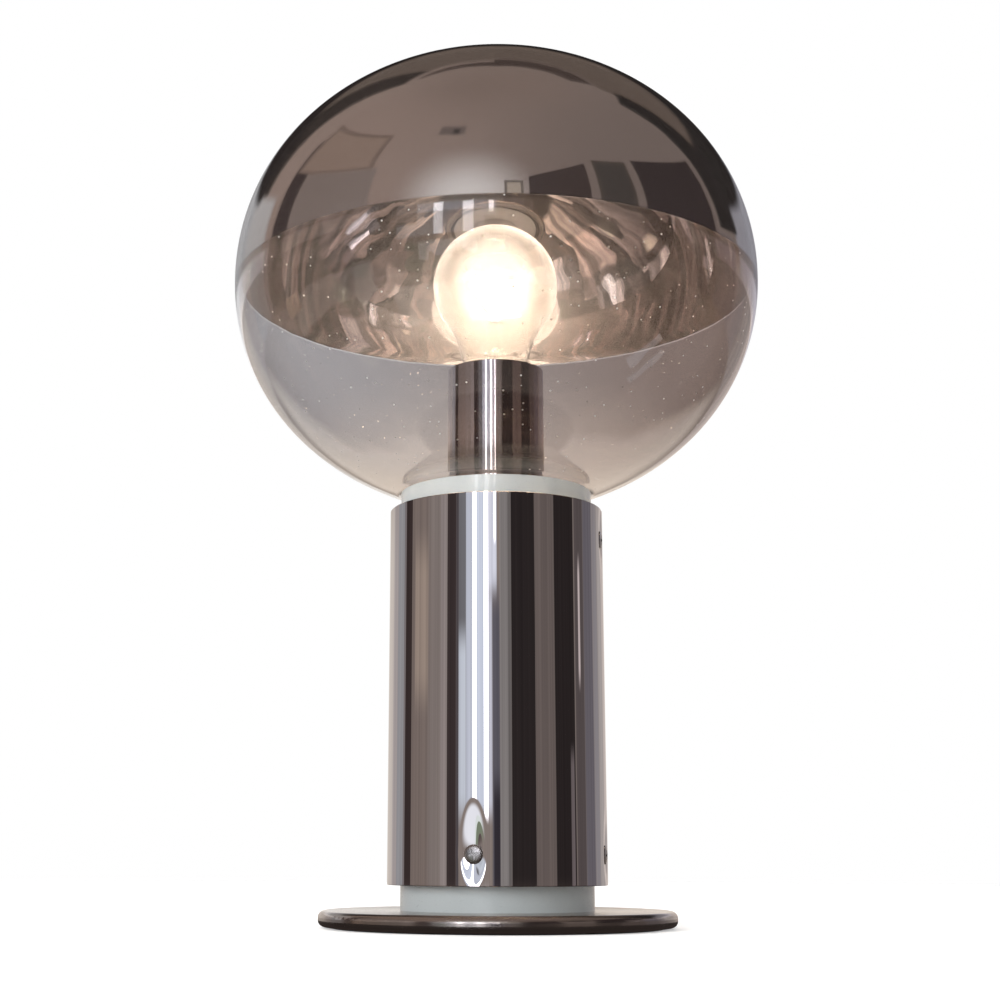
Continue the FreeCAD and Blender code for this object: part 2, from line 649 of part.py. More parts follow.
def nipple_nuts():
    body = add("Part::Prism", "nut_body")
    body.Polygon = 6
    bind(body, {"Circumradius": "nut_across_corners / 2", "Height": "nut_thickness"})
    pattern = cut("nut_pattern", body, [cylinder("nut_hole", NIPPLE_THREAD, "nut_thickness")])
    return ring_of("nipple_nuts", pattern, upright(NUT_LEVELS))


def holder_cap():
    wall_bore = "(holder_radius - holder_wall)"
    return turned("holder_cap", [
        (NIPPLE_THREAD, HOLDER_LOW),
        ("(holder_radius - holder_cap_slope)", HOLDER_LOW),
        ("holder_radius", f"({HOLDER_LOW} + holder_cap_slope)"),
        ("holder_radius", INSERT_LOW),
        (wall_bore, INSERT_LOW),
        (wall_bore, f"({HOLDER_LOW} + holder_cap_slope + holder_wall / 2)"),
        ("(holder_radius - holder_cap_slope)", HOLDER_FLOOR_TOP),
        (NIPPLE_THREAD, HOLDER_FLOOR_TOP),
    ])


def holder_insert():
    plate = cylinder("insert_plate", "holder_radius", "insert_thickness", z=INSERT_LOW)
    rivet = cylinder("insert_rivet_hole", "post_screw_radius", "insert_thickness", z=INSERT_LOW)
    return cut("holder_insert", plate, [rivet])


def holder_skirt():
    outer = cylinder("skirt_body", "holder_radius", "skirt_height", z=INSERT_TOP)
    bore = cylinder("skirt_hole", f"{SHELL_RADIUS} + skirt_clearance", "skirt_height", z=INSERT_TOP)
    mouth = cylinder("skirt_mouth", "mouth_radius", "mouth_depth", z=MOUTH_LOW)
    return cut("holder_skirt", outer, [bore, mouth])


def holder_thread_shell():
    threads_low = f"({SHELL_TOP} - thread_pitch * {THREAD_TURNS + 0.5})"
    inside = thread_outline(SHELL_ROOT, "thread_crest", threads_low)
    return turned("holder_thread_shell", [
        (SHELL_RADIUS, SHELL_TOP),
        (SHELL_RADIUS, INSERT_TOP),
        (SHELL_ROOT, INSERT_TOP),
        *inside,
        (SHELL_ROOT, SHELL_TOP),
    ])


def holder_centre_contact():
    """A springy strip folded back over itself, its foot riveted down and its tongue under the bulb."""
    half_span = "tongue_width"
    foot = box("tongue_foot", f"2 * {half_span}", "tongue_width", "tongue_metal", f"-{half_span}",
               "-tongue_width / 2", INSERT_TOP)
    fold = box("tongue_fold", "tongue_metal", "tongue_width", "tongue_rise", f"-{half_span}",
               "-tongue_width / 2", INSERT_TOP)
    tongue = box("tongue_top", f"2 * {half_span}", "tongue_width", "tongue_metal", f"-{half_span}",
                 "-tongue_width / 2", f"{TONGUE_TOP} - tongue_metal")
    rivet = cylinder("tongue_rivet", "post_screw_radius", "insert_thickness", z=INSERT_LOW)
    return fuse("holder_centre_contact", [foot, fold, tongue, rivet])


def holder_terminals():
    posts = []
    for i, side in enumerate("-+"):
        post = cylinder(f"post_{i}", "post_radius", "post_height", f"{side}post_spacing", "", POST_LOW)
        thread = cylinder(f"post_thread_{i}", "post_screw_radius + thread_clearance", "post_screw_length",
                          f"{side}post_spacing", "", POST_LOW)
        posts.append(cut(f"holder_terminal_{i}", post, [thread]))
    return fuse("holder_terminals", posts)


def holder_terminal_screws():
    screws = []
    for i, side in enumerate("-+"):
        shank = cylinder(f"post_screw_shank_{i}", "post_screw_radius", "post_screw_length + post_screw_rim",
                         f"{side}post_spacing", "", f"{POST_LOW} - post_screw_rim")
        head = cylinder(f"post_screw_head_{i}", "post_screw_head", "post_screw_rim", f"{side}post_spacing",
                        "", f"{POST_LOW} - post_screw_rim")
        screws.append(fuse(f"holder_terminal_screw_{i}", [shank, head]))
    return fuse("holder_terminal_screws", screws)


# Bulb ------------------------------------------------------------------

def bulb_shape(label, inset):
    """A ball over a cone that touches it: the bulb's outline as a solid, `inset` inside its outer face."""
    radius, neck = f"(bulb_radius - {inset})", f"(bulb_neck_radius - {inset})"
    slope = f"(atan(bulb_neck_drop / {neck}) - acos({radius} / sqrt(bulb_neck_drop ^ 2 + {neck} ^ 2)))"
    ball = add("Part::Sphere", label + "_ball")
    bind(ball, {"Radius": radius})
    place(ball, z=BULB_CENTRE)
    flare = cone(label + "_flare", neck, f"{radius} * cos({slope})",
                 f"bulb_neck_drop - {radius} * sin({slope})", z=CAP_TOP)
    end = cylinder(label + "_end", neck, "2 * bulb_glass_step", z=f"{CAP_TOP} - bulb_glass_step")
    return [ball, flare, end]


def bulb_glass():
    outer = fuse("bulb_outer", bulb_shape("bulb_outer", "0"))
    inner = fuse("bulb_inner", bulb_shape("bulb_inner", "bulb_wall"))
    seat = cylinder("bulb_cap_seat", f"{CAP_CREST}", "bulb_glass_step", z=f"{CAP_TOP} - bulb_glass_step")
    return cut("bulb_glass", outer, [inner, seat])


def bulb_cap():
    threads_low = f"({CAP_LOW} + thread_metal)"
    outside = thread_outline(CAP_ROOT, CAP_CREST, threads_low)
    inner = f"({CAP_ROOT} - thread_metal)"
    return turned("bulb_cap", [
        (inner, CAP_LOW),
        (CAP_ROOT, CAP_LOW),
        *outside,
        (CAP_ROOT, f"({CAP_TOP} - bulb_glass_step)"),
        (f"({CAP_CREST} - thread_metal)", CAP_TOP),
        (f"({inner} - thread_metal)", CAP_TOP),
        (inner, f"({CAP_TOP} - bulb_glass_step)"),
    ])


def bulb_insulator():
    return cone("bulb_insulator", "bulb_tip_radius", f"({CAP_ROOT} - thread_metal)", "bulb_cap_rise",
                z=INSULATOR_LOW)


def bulb_tip():
    return cylinder("bulb_tip", "bulb_tip_radius", "bulb_tip_height", z=TIP_LOW)


STEM_LOW = f"({CAP_TOP})"
STEM_TOP = f"({STEM_LOW} + stem_height)"


def bulb_stem():
    """The flared glass mount, sealed all round to the bulb's neck, with its pressed top."""
    flare = "(bulb_neck_radius - bulb_wall)"
    return turned("bulb_stem", [
        ("0", STEM_LOW),
        (f"({flare} - thread_clearance)", STEM_LOW),
        (f"({flare} - thread_clearance)", f"({STEM_LOW} + bulb_wall)"),
        ("stem_radius", f"({STEM_LOW} + stem_height / 3)"),
        ("stem_radius", STEM_TOP),
        ("0", STEM_TOP),
    ])


def bulb_wires():
    wires = []
    for side in (-1, 1):
        start, reach = side * value("wire_start"), side * value("wire_reach")
        low, rise = value(STEM_TOP), value("wire_rise")
        corners = [Vector(start, 0, low), Vector(start, 0, low + rise / 5),
                   Vector(reach, 0, low + rise * 3 / 4), Vector(reach, 0, low + rise)]
        wires.append(bent_tube("bulb wire", corners, [value("wire_bend")] * 2, value("wire_radius")))
    return solid("bulb_wires", Part.makeCompound(wires))


def bulb_filament():
    half = value("wire_reach") - value("wire_radius")
    level = value(STEM_TOP) + value("wire_rise") - value("filament_radius")
    corners = [Vector(-half, 0, level), Vector(half, 0, level)]
    return solid("bulb_filament", bent_tube("filament", corners, [], value("filament_radius")))


# Wiring ----------------------------------------------------------------

def pole_places():
    """Each pole's distance from the middle of the block, as a sum of sizes."""
    return [f"(pole_pitch * {i - (POLES - 1) / 2})" for i in range(POLES)]


def pole_screw_places():
    """Where the clamping screws stand: two on each pole."""
    fronts = ("(block_front + pole_screw_inset)", "(block_front + block_depth - pole_screw_inset)")
    return [(x, y) for x in pole_places() for y in fronts]


def along_block(label, radius, x):
    """A cylinder right through the block from front to back."""
    thing = cylinder(label, radius, "block_depth")
    thing.Placement = Placement(Vector(), Rotation(Vector(1, 0, 0), -90))
    place(thing, x, "block_front", POLE_LEVEL)
    return thing


def terminal_block():
    body = box("block_body", "block_length", "block_depth", "block_height", "-block_length / 2",
               "block_front", HUB_FLOOR_TOP)
    holes = [along_block(f"block_way_{i}", "pole_radius + thread_clearance", x)
             for i, x in enumerate(pole_places())]
    for i, (x, y) in enumerate(pole_screw_places()):
        holes.append(cylinder(f"block_screw_way_{i}", "pole_screw_radius + hole_clearance", "block_height",
                              x, y, POLE_LEVEL))
    holes += [cylinder(f"block_mount_hole_{i}", "mount_screw_radius + hole_clearance", "block_height", x,
                       BLOCK_MIDDLE, HUB_FLOOR_TOP) for i, x in enumerate(MOUNT_SCREWS)]
    return cut("terminal_block", body, holes)


def block_mount_screws():
    screws = []
    for i, x in enumerate(MOUNT_SCREWS):
        shank = cylinder(f"mount_screw_shank_{i}", "mount_screw_radius", "hub_floor + block_height", x,
                         BLOCK_MIDDLE, DISC_TOP)
        head = cylinder(f"mount_screw_rim_{i}", "mount_screw_head", "mount_screw_rim", x, BLOCK_MIDDLE,
                        f"{HUB_FLOOR_TOP} + block_height")
        screws.append(fuse(f"block_mount_screw_{i}", [shank, head]))
    return fuse("block_mount_screws", screws)


def block_poles():
    poles = []
    for i, x in enumerate(pole_places()):
        body = along_block(f"pole_body_{i}", "pole_radius", x)
        bore = along_block(f"pole_bore_{i}", "pole_bore", x)
        threads = [cylinder(f"pole_thread_{i}_{j}", "pole_screw_radius + thread_clearance",
                            "pole_radius * 2", x, y, POLE_LEVEL)
                   for j, (_, y) in enumerate(pole_screw_places()[:2])]
        poles.append(cut(f"block_pole_{i}", body, [bore] + threads))
    return fuse("block_poles", poles)


def block_screws():
    """Clamping screws, from the leads up to just under the block's top."""
    low = f"({POLE_LEVEL} + lead_radius)"
    height = f"{HUB_FLOOR_TOP} + block_height - 1 - {low}"
    screws = [cylinder(f"block_screw_{i}", "pole_screw_radius", height, x, y, low)
              for i, (x, y) in enumerate(pole_screw_places())]
    return fuse("block_screws", screws)


def pole_mouth(pole):
    """The point where a lead ends inside a pole, at the block's front."""
    return Vector(value(pole_places()[pole]), value("block_front + lead_inset"), value(POLE_LEVEL))


def riser(name, pole, side):
    """A lead from the block up the column, through the threaded tube and across to its terminal."""
    start = pole_mouth(pole)
    clear, inner = value("block_front") - 2 * value("lead_bend"), side * value("lead_radius * 1.25")
    turn_level = value(f"{POST_LOW} + post_height / 2")
    corners = [
        start,
        Vector(start.x, clear, start.z),
        Vector(start.x, clear, value(HUB_TOP)),
        Vector(inner, 0, value(f"{COLLAR_LOW} - hub_spigot")),
        Vector(inner, 0, turn_level),
        Vector(side * value("post_spacing - post_radius"), 0, turn_level),
    ]
    bend, turn = value("lead_bend"), value("lead_turn")
    return solid(name, bent_tube(name, corners, [bend, bend, 3 * bend, turn], value("lead_radius")))


def live_lead():
    return riser("live_lead", 0, -1)


def neutral_lead():
    return riser("neutral_lead", POLES - 1, 1)


TAG_LEVEL = f"({HUB_FLOOR_TOP} + tag_rise)"
BARREL_LOW = "(tag_x - tag_radius - tag_barrel)"


def earth_lead():
    start, forward = pole_mouth(1), -value("tag_y")
    level, bend = value(TAG_LEVEL), value("lead_bend") / 2
    corners = [start, Vector(start.x, -bend, start.z), Vector(start.x, forward, level),
               Vector(value(BARREL_LOW), forward, level)]
    return solid("earth_lead", bent_tube("earth_lead", corners, [bend, bend], value("lead_radius")))


def earth_tag():
    plate = cylinder("tag_plate", "tag_radius", "tag_metal", "tag_x", "-tag_y", HUB_FLOOR_TOP)
    strip = box("tag_strip", "tag_radius", "2 * tag_barrel_radius", "tag_metal", "tag_x - 1.5 * tag_radius",
                "-tag_y - tag_barrel_radius", HUB_FLOOR_TOP)
    barrel = add("Part::Cylinder", "tag_barrel_body")
    bind(barrel, {"Radius": "tag_barrel_radius", "Height": "tag_barrel"})
    barrel.Placement = Placement(Vector(), Rotation(Vector(0, 1, 0), 90))
    place(barrel, BARREL_LOW, "-tag_y", TAG_LEVEL)
    web = box("tag_web", "tag_metal", "2 * tag_barrel_radius", "tag_rise", "tag_x - tag_radius - tag_metal",
              "-tag_y - tag_barrel_radius", HUB_FLOOR_TOP)
    hole = cylinder("tag_hole", "earth_screw_radius + thread_clearance", "tag_metal", "tag_x", "-tag_y",
                    HUB_FLOOR_TOP)
    return cut("earth_tag", fuse("tag_blank", [plate, strip, barrel, web]), [hole])


def earth_screw():
    shank = cylinder("earth_screw_shank", "earth_screw_radius", "hub_floor + tag_metal", "tag_x", "-tag_y",
                     DISC_TOP)
    head = cylinder("earth_screw_rim", "earth_screw_head", "earth_screw_rim", "tag_x", "-tag_y",
                    f"{HUB_FLOOR_TOP} + tag_metal")
    return fuse("earth_screw", [shank, head])


PIECES = [
    base_disc, base_pad, base_screws, base_hub, cord_grommet,
    column_tube, lower_column_screws, upper_column_screws, upper_collar, globe_gasket,
    globe_glass, mirror_film,
    socket_sleeve, threaded_nipple, nipple_washers, nipple_nuts,
    holder_cap, holder_insert, holder_skirt, holder_thread_shell, holder_centre_contact,
    holder_terminals, holder_terminal_screws,
    bulb_glass, bulb_cap, bulb_insulator, bulb_tip, bulb_stem, bulb_wires, bulb_filament,
    terminal_block, block_mount_screws, block_poles, block_screws,
    live_lead, neutral_lead, earth_lead, earth_tag, earth_screw,
]

pieces = [make() for make in PIECES]
doc.recompute()

for thing in doc.Objects:
    if "Invalid" in thing.State or "Error" in thing.State:
        raise RuntimeError(f"{thing.Label} failed: {thing.State}")
for piece in pieces:
    if piece.Shape.isNull() or not piece.Shape.isValid() or not piece.Shape.Solids:
        raise RuntimeError(f"{piece.Label} has no valid solid")

os.makedirs("parts", exist_ok=True)
for piece in pieces:
    piece.Shape.exportStep(f"parts/{piece.Label}.step")
    print(f"{piece.Label}: {len(piece.Shape.Solids)} solids, {piece.Shape.Volume:.1f} mm3")
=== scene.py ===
"""Looks, light and camera of the glass globe table lamp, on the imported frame. Metres, Z up, front at -Y."""
import json
import math
from math import cos, pi, radians, sin

import bmesh
import bpy
from mathutils import Matrix, Vector


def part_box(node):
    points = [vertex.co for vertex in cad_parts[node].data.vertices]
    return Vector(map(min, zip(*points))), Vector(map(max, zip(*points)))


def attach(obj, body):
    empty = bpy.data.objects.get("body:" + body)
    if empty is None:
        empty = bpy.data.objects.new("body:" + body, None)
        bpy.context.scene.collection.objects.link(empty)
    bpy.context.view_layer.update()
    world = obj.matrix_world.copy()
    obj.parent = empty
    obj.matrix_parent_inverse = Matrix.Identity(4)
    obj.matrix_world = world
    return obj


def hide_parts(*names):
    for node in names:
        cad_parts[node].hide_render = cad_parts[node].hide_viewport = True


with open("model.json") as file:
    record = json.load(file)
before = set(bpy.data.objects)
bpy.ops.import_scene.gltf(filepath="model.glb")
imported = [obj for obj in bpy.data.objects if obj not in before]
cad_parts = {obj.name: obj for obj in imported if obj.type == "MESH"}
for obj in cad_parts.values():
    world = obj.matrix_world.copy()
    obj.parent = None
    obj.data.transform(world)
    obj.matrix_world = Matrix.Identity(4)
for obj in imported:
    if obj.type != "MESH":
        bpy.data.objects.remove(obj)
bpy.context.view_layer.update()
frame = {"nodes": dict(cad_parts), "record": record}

MM = 0.001
nodes = frame["nodes"]
scene = bpy.context.scene


# Places, read from the frame -------------------------------------------

def low(node):
    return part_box(node)[0].z


def top(node):
    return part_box(node)[1].z


def reach(node):
    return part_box(node)[1].x


def middle_level(node):
    return (low(node) + top(node)) / 2


# The globe stays this far inside its solid's box.
SIDE_MARGIN = 0.2 * MM
TOP_MARGIN = 0.5 * MM
FILM_BELOW_EQUATOR = 1.8 * MM

FILM_LOW = low("mirror_film")
GLOBE_RADIUS = reach("globe_glass") - SIDE_MARGIN
GLOBE_TOP = top("globe_glass") - TOP_MARGIN
GLOBE_LOW = low("globe_glass")
GLOBE_EQUATOR = FILM_LOW + FILM_BELOW_EQUATOR
GLOBE_WALL = 2 * MM
NECK_RADIUS = 42.3 * MM
COLUMN_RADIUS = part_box("column_tube")[1].y
COLUMN_WALL = 1.5 * MM
BULB_RADIUS = reach("bulb_glass")
BULB_MIDDLE = top("bulb_glass") - BULB_RADIUS
SCREW_TURN = radians(-11.8)
LOWER_SCREW_LEVEL = middle_level("lower_column_screws")
UPPER_SCREW_LEVEL = middle_level("upper_column_screws")


# Meshes ----------------------------------------------------------------

ON_AXIS = 0.001 * MM


def placed(name, shape):
    """A new object in the scene."""
    made = bpy.data.objects.new(name, shape)
    scene.collection.objects.link(made)
    return made


def finish_mesh(name, mesh, body, slot, replaced, sharp):
    """Puts a finished mesh in the scene as a piece that rides on a body and stands for a CAD node."""
    mesh.shade_smooth()
    mesh.set_sharp_from_angle(angle=sharp)
    piece = placed(name, mesh)
    mesh.materials.append(MATERIALS[slot])
    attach(piece, body)
    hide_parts(*replaced)


def grid_mesh(name, rings, closed_section):
    """A mesh through rings of points; a ring of one point is a pole on the axis."""
    mesh = bmesh.new()
    rows = [[mesh.verts.new(point) for point in ring] for ring in rings]
    pairs = list(zip(rows, rows[1:]))
    if closed_section:
        pairs.append((rows[-1], rows[0]))
    for lower, upper in pairs:
        count = max(len(lower), len(upper))
        for i in range(count):
            j = (i + 1) % count
            if len(lower) == 1:
                corners = (lower[0], upper[j], upper[i])
            elif len(upper) == 1:
                corners = (lower[i], lower[j], upper[0])
            else:
                corners = (lower[i], lower[j], upper[j], upper[i])
            mesh.faces.new(corners)
    bmesh.ops.recalc_face_normals(mesh, faces=mesh.faces)
    made = bpy.data.meshes.new(name)
    mesh.to_mesh(made)
    mesh.free()
    return made


def lathe(name, outline, steps):
    """Turns an outline of (radius, height) about the lamp's axis."""
    angles = [2 * pi * i / steps for i in range(steps)]
    rings = []
    for radius, height in outline:
        if radius < ON_AXIS:
            rings.append([(0, 0, height)])
        else:
            rings.append([(radius * cos(a), radius * sin(a), height) for a in angles])
    return grid_mesh(name, rings, closed_section=False)


def arc(middle, radius, start, end, steps=8):
    """Points of an arc in the outline's plane, from one angle in degrees to another."""
    turns = [radians(start + (end - start) * i / steps) for i in range(steps + 1)]
    return [(middle[0] + radius * cos(a), middle[1] + radius * sin(a)) for a in turns]


# Node helpers ----------------------------------------------------------

def srgb(*channels):
    """A colour written as 0 to 255 screen values, as linear red, green and blue."""
    return tuple((c / 255 / 12.92) if c <= 10 else ((c / 255 + 0.055) / 1.055) ** 2.4 for c in channels)


class Nodes:
    """A short way to write shader nodes: values, sockets and numbers mix freely."""

    def __init__(self, tree):
        self.tree = tree
        tree.nodes.clear()

    def new(self, kind, inputs=(), **settings):
        node = self.tree.nodes.new(kind)
        for name, setting in settings.items():
            setattr(node, name, setting)
        for key, given in dict(inputs).items():
            self.give(node.inputs[key], given)
        return node

    def give(self, socket, given):
        if isinstance(given, bpy.types.NodeSocket):
            self.tree.links.new(given, socket)
        elif socket.type == "RGBA":
            socket.default_value = (*given, 1)
        else:
            socket.default_value = given

    def math(self, operation, *given):
        node = self.new("ShaderNodeMath", enumerate(given), operation=operation)
        return node.outputs[0]

    def times(self, first, second):
        return self.math("MULTIPLY", first, second)

    def smooth(self, given, start, end, low_value=0.0, high_value=1.0):
        """Goes smoothly from the low to the high value as the given value goes from start to end."""
        node = self.new("ShaderNodeMapRange", {0: given, 1: start, 2: end, 3: low_value, 4: high_value},
                        interpolation_type="SMOOTHSTEP")
        return node.outputs[0]

    def mix(self, share, first, second):
        """A colour between two others."""
        node = self.new("ShaderNodeMix", {0: share, 6: first, 7: second}, data_type="RGBA")
        return node.outputs[2]

    def over(self, share, first, second):
        """A surface between two others."""
        return self.new("ShaderNodeMixShader", {0: share, 1: first, 2: second}).outputs[0]

    def noise(self, scale, detail=2.0, place=None):
        inputs = {"Scale": scale, "Detail": detail}
        if place is not None:
            inputs["Vector"] = place
        return self.new("ShaderNodeTexNoise", inputs).outputs["Fac"]

    def place(self):
        """The object's own coordinates."""
        return self.new("ShaderNodeTexCoord").outputs["Object"]

    def stretched(self, *scales):
        """The object's own coordinates, each times its scale."""
        return self.new("ShaderNodeMapping", {"Vector": self.place(), "Scale": scales}).outputs[0]

    def vector(self, *given):
        return self.new("ShaderNodeCombineXYZ", enumerate(given)).outputs[0]

    def axes(self, vector):
        return self.new("ShaderNodeSeparateXYZ", {0: vector}).outputs

    def channels(self, colour):
        return self.new("ShaderNodeSeparateColor", {0: colour}).outputs

    def bump(self, height, strength, distance):
        node = self.new("ShaderNodeBump", {"Height": height, "Strength": strength, "Distance": distance})
        return node.outputs[0]

    def shader(self, **inputs):
        """A Principled shader; an underscore in a name stands for a space."""
        named = {name.replace("_", " "): given for name, given in inputs.items()}
        return self.new("ShaderNodeBsdfPrincipled", named).outputs[0]

    def metal(self, base, rough, normal, **more):
        return self.shader(Base_Color=base, Metallic=1.0, Roughness=rough, Normal=normal, **more)

    def clear(self, **inputs):
        return self.new("ShaderNodeBsdfTransparent", inputs).outputs[0]

    def glow(self, colour, strength):
        return self.new("ShaderNodeEmission", {"Color": colour, "Strength": strength}).outputs[0]

    def output(self, surface, kind="ShaderNodeOutputMaterial"):
        self.new(kind, {"Surface": surface})


def material(name):
    made = bpy.data.materials.new(name)
    made.use_nodes = True
    return made, Nodes(made.node_tree)


# Metals ----------------------------------------------------------------

CHROME_SHARE = 0.7
RING_SCALE = 2600.0
METAL_GRAIN = 240
SILVER_HAZE = 0.09
HAZE_ROUGHNESS = 0.38


def chrome():
    """Polished chrome plate with faint drawing marks along the tube and slightly duller patches."""
    made, n = material("polished_chrome")
    marks = n.noise(1, 3, n.stretched(260, 260, 5))
    waves = n.noise(1, 1, n.stretched(38, 38, 7))
    height = n.math("MULTIPLY_ADD", waves, 6.0, marks)
    rough = n.smooth(n.noise(34, 4), 0.5, 0.8, 0.005, 0.035)
    base = n.mix(n.smooth(marks, 0.3, 0.7), srgb(214, 211, 212), srgb(222, 219, 219))
    n.output(n.metal(base, rough, n.bump(height, 0.04, 0.0001)))
    return made


def satin_steel():
    """Satin steel with fine marks turned about the axis, which draw its highlights out across them."""
    made, n = material("satin_steel")
    across, away, _ = n.axes(n.place())
    radius = n.math("SQRT", n.math("ADD", n.math("POWER", across, 2.0), n.math("POWER", away, 2.0)))
    rings = n.noise(1, 4, n.vector(n.times(radius, RING_SCALE)))
    smudge = n.noise(26, 4)
    rough = n.smooth(n.math("MULTIPLY_ADD", smudge, 0.5, n.times(rings, 0.5)), 0.3, 0.7, 0.17, 0.25)
    base = n.mix(smudge, srgb(176, 169, 164), srgb(188, 181, 176))
    round_about = n.new("ShaderNodeTangent", direction_type="RADIAL", axis="Z").outputs[0]
    n.output(n.metal(base, rough, n.bump(rings, 0.05, 0.00005),
                     Anisotropic=0.7, Anisotropic_Rotation=0.25, Tangent=round_about))
    return made


def plain_metal(name, colour, worn, rough):
    """Small metal parts: plated or bare, with a little cloudiness and fine grain."""
    made, n = material(name)
    cloud = n.noise(METAL_GRAIN, 3)
    base = n.mix(cloud, srgb(*colour), srgb(*worn))
    grain = n.bump(n.noise(METAL_GRAIN * 8, 2), 0.15, 0.00003)
    n.output(n.metal(base, n.smooth(cloud, 0.3, 0.75, rough, rough + 0.15), grain))
    return made


def silvering():
    """Smoky silver film with a little haze, and faint wipe marks that run round the globe."""
    made, n = material("silvering")
    wipe = n.noise(1, 3, n.stretched(9, 9, 150))
    share = n.math("MULTIPLY_ADD", wipe, 0.4, n.times(n.noise(7, 3), 0.6))
    base = n.mix(share, srgb(216, 210, 208), srgb(228, 223, 221))
    sharp = n.metal(base, n.smooth(wipe, 0.45, 0.8, 0.004, 0.03), n.bump(wipe, 0.02, 0.00005))
    haze = n.shader(Base_Color=base, Metallic=1.0, Roughness=HAZE_ROUGHNESS)
    n.output(n.over(SILVER_HAZE, sharp, haze))
    return made


# Glass -----------------------------------------------------------------

# How far up from the mouth of the neck the painted glow of the bulb's light reaches.
PAINTED_GLOW_HEIGHT = 42 * MM
FADE_BELOW_FILM = 1 * MM
SPECK_SCALE = 64.0
SPECK_RADIUS = 0.1
SPECK_CHOICE = 0.72
DUST = 0.75
BULB_MILK = 0.08
FILAMENT_STRENGTH = 380.0


def see_through(n, surface, tint):
    """Lets lamp light through the glass, as a shadow ray would otherwise stop at it."""
    shadow = n.new("ShaderNodeLightPath").outputs["Is Shadow Ray"]
    return n.over(shadow, surface, n.clear(Color=tint))


def dirt(n, up):
    """Where dust and fine scratches lie on the clear lower half."""
    specks = n.new("ShaderNodeTexVoronoi", {"Scale": SPECK_SCALE, "Randomness": 1.0}).outputs
    near = n.math("LESS_THAN", specks["Distance"], SPECK_RADIUS)
    chosen = n.math("GREATER_THAN", n.channels(specks["Color"])[0], SPECK_CHOICE)
    scratch = n.math("GREATER_THAN", n.noise(1, 2, n.stretched(30, 30, 900)), 0.79)
    scratched = n.times(scratch, n.math("GREATER_THAN", n.noise(16, 2), 0.6))
    shown = n.math("MAXIMUM", n.times(near, chosen), scratched)
    return n.times(shown, n.smooth(up, FILM_LOW - 2 * FADE_BELOW_FILM, FILM_LOW, DUST, 0.0))


def globe_glass():
    """Smoky clear glass below the silvering, with dust and fine scratches; its colour also carries painted
    shade, darker and browner towards the right side, and a painted glow of the bulb's light, paler and warmer
    at the neck.
    """
    made, n = material("clear_glass")
    across, _, up = n.axes(n.place())
    # Painted shade: the glass is painted darker and browner from its left side to its right.
    painted_side_shade = n.mix(n.smooth(across, -GLOBE_RADIUS, GLOBE_RADIUS), srgb(209, 208, 210), srgb(184, 172, 167))
    # Painted light: a pale warm glow of the bulb's light painted into the glass at its neck, fading upward.
    painted_neck_glow = n.mix(n.smooth(up, GLOBE_LOW, GLOBE_LOW + PAINTED_GLOW_HEIGHT), srgb(250, 239, 228), painted_side_shade)
    # This colour carries the painted shade and painted glow above, and clears to near white just below the
    # silvering.
    tint = n.mix(n.smooth(up, FILM_LOW - FADE_BELOW_FILM, FILM_LOW), painted_neck_glow, (0.97, 0.97, 0.97))
    clean = n.shader(Base_Color=tint, Roughness=0.0, IOR=1.5, Transmission_Weight=1.0,
                     Normal=n.bump(n.noise(14, 2), 0.05, 0.0004))
    dusty = n.shader(Base_Color=srgb(226, 222, 216), Roughness=0.8)
    n.output(see_through(n, n.over(dirt(n, up), clean, dusty), tint))
    return made


def bulb_glass():
    """Thin clear glass with faint upright ripples, and a trace of milkiness that catches the glare."""
    made, n = material("bulb_glass")
    ripples = n.noise(1, 2, n.stretched(190, 190, 30))
    tint = n.mix(n.smooth(ripples, 0.3, 0.7), srgb(246, 243, 238), srgb(251, 250, 247))
    clean = n.shader(Base_Color=tint, Roughness=0.02, IOR=1.45, Transmission_Weight=1.0,
                     Normal=n.bump(ripples, 0.25, 0.0006))
    milky = n.shader(Base_Color=tint, Roughness=0.6, IOR=1.45, Transmission_Weight=1.0)
    n.output(see_through(n, n.over(BULB_MILK, clean, milky), tint))
    return made


def filament():
    """Glowing tungsten, a little uneven along its length."""
    made, n = material("glowing_filament")
    hot = n.mix(n.noise(400, 2), srgb(255, 230, 192), srgb(255, 240, 216))
    n.output(n.glow(hot, FILAMENT_STRENGTH))
    return made


# Paint, plastic, rubber, felt ------------------------------------------

def enamel(name, colour, shade, rough, coat=0.0, bump=0.05):
    """A coloured surface: paint, plastic, porcelain, rubber or insulation."""
    made, n = material(name)
    cloud = n.noise(60, 4)
    base = n.mix(cloud, srgb(*colour), srgb(*shade))
    skin = n.bump(n.noise(900, 2), bump, 0.00006)
    n.output(n.shader(Base_Color=base, Roughness=n.smooth(cloud, 0.2, 0.8, rough, rough + 0.08),
                      Coat_Weight=coat, Coat_Roughness=0.05, Normal=skin))
    return made


def felt():
    """Short dark fibres."""
    made, n = material("felt")
    fibres = n.noise(1800, 4)
    base = n.mix(fibres, srgb(26, 25, 26), srgb(58, 56, 57))
    n.output(n.shader(Base_Color=base, Roughness=0.95, Sheen_Weight=0.4, Normal=n.bump(fibres, 0.9, 0.0003)))
    return made


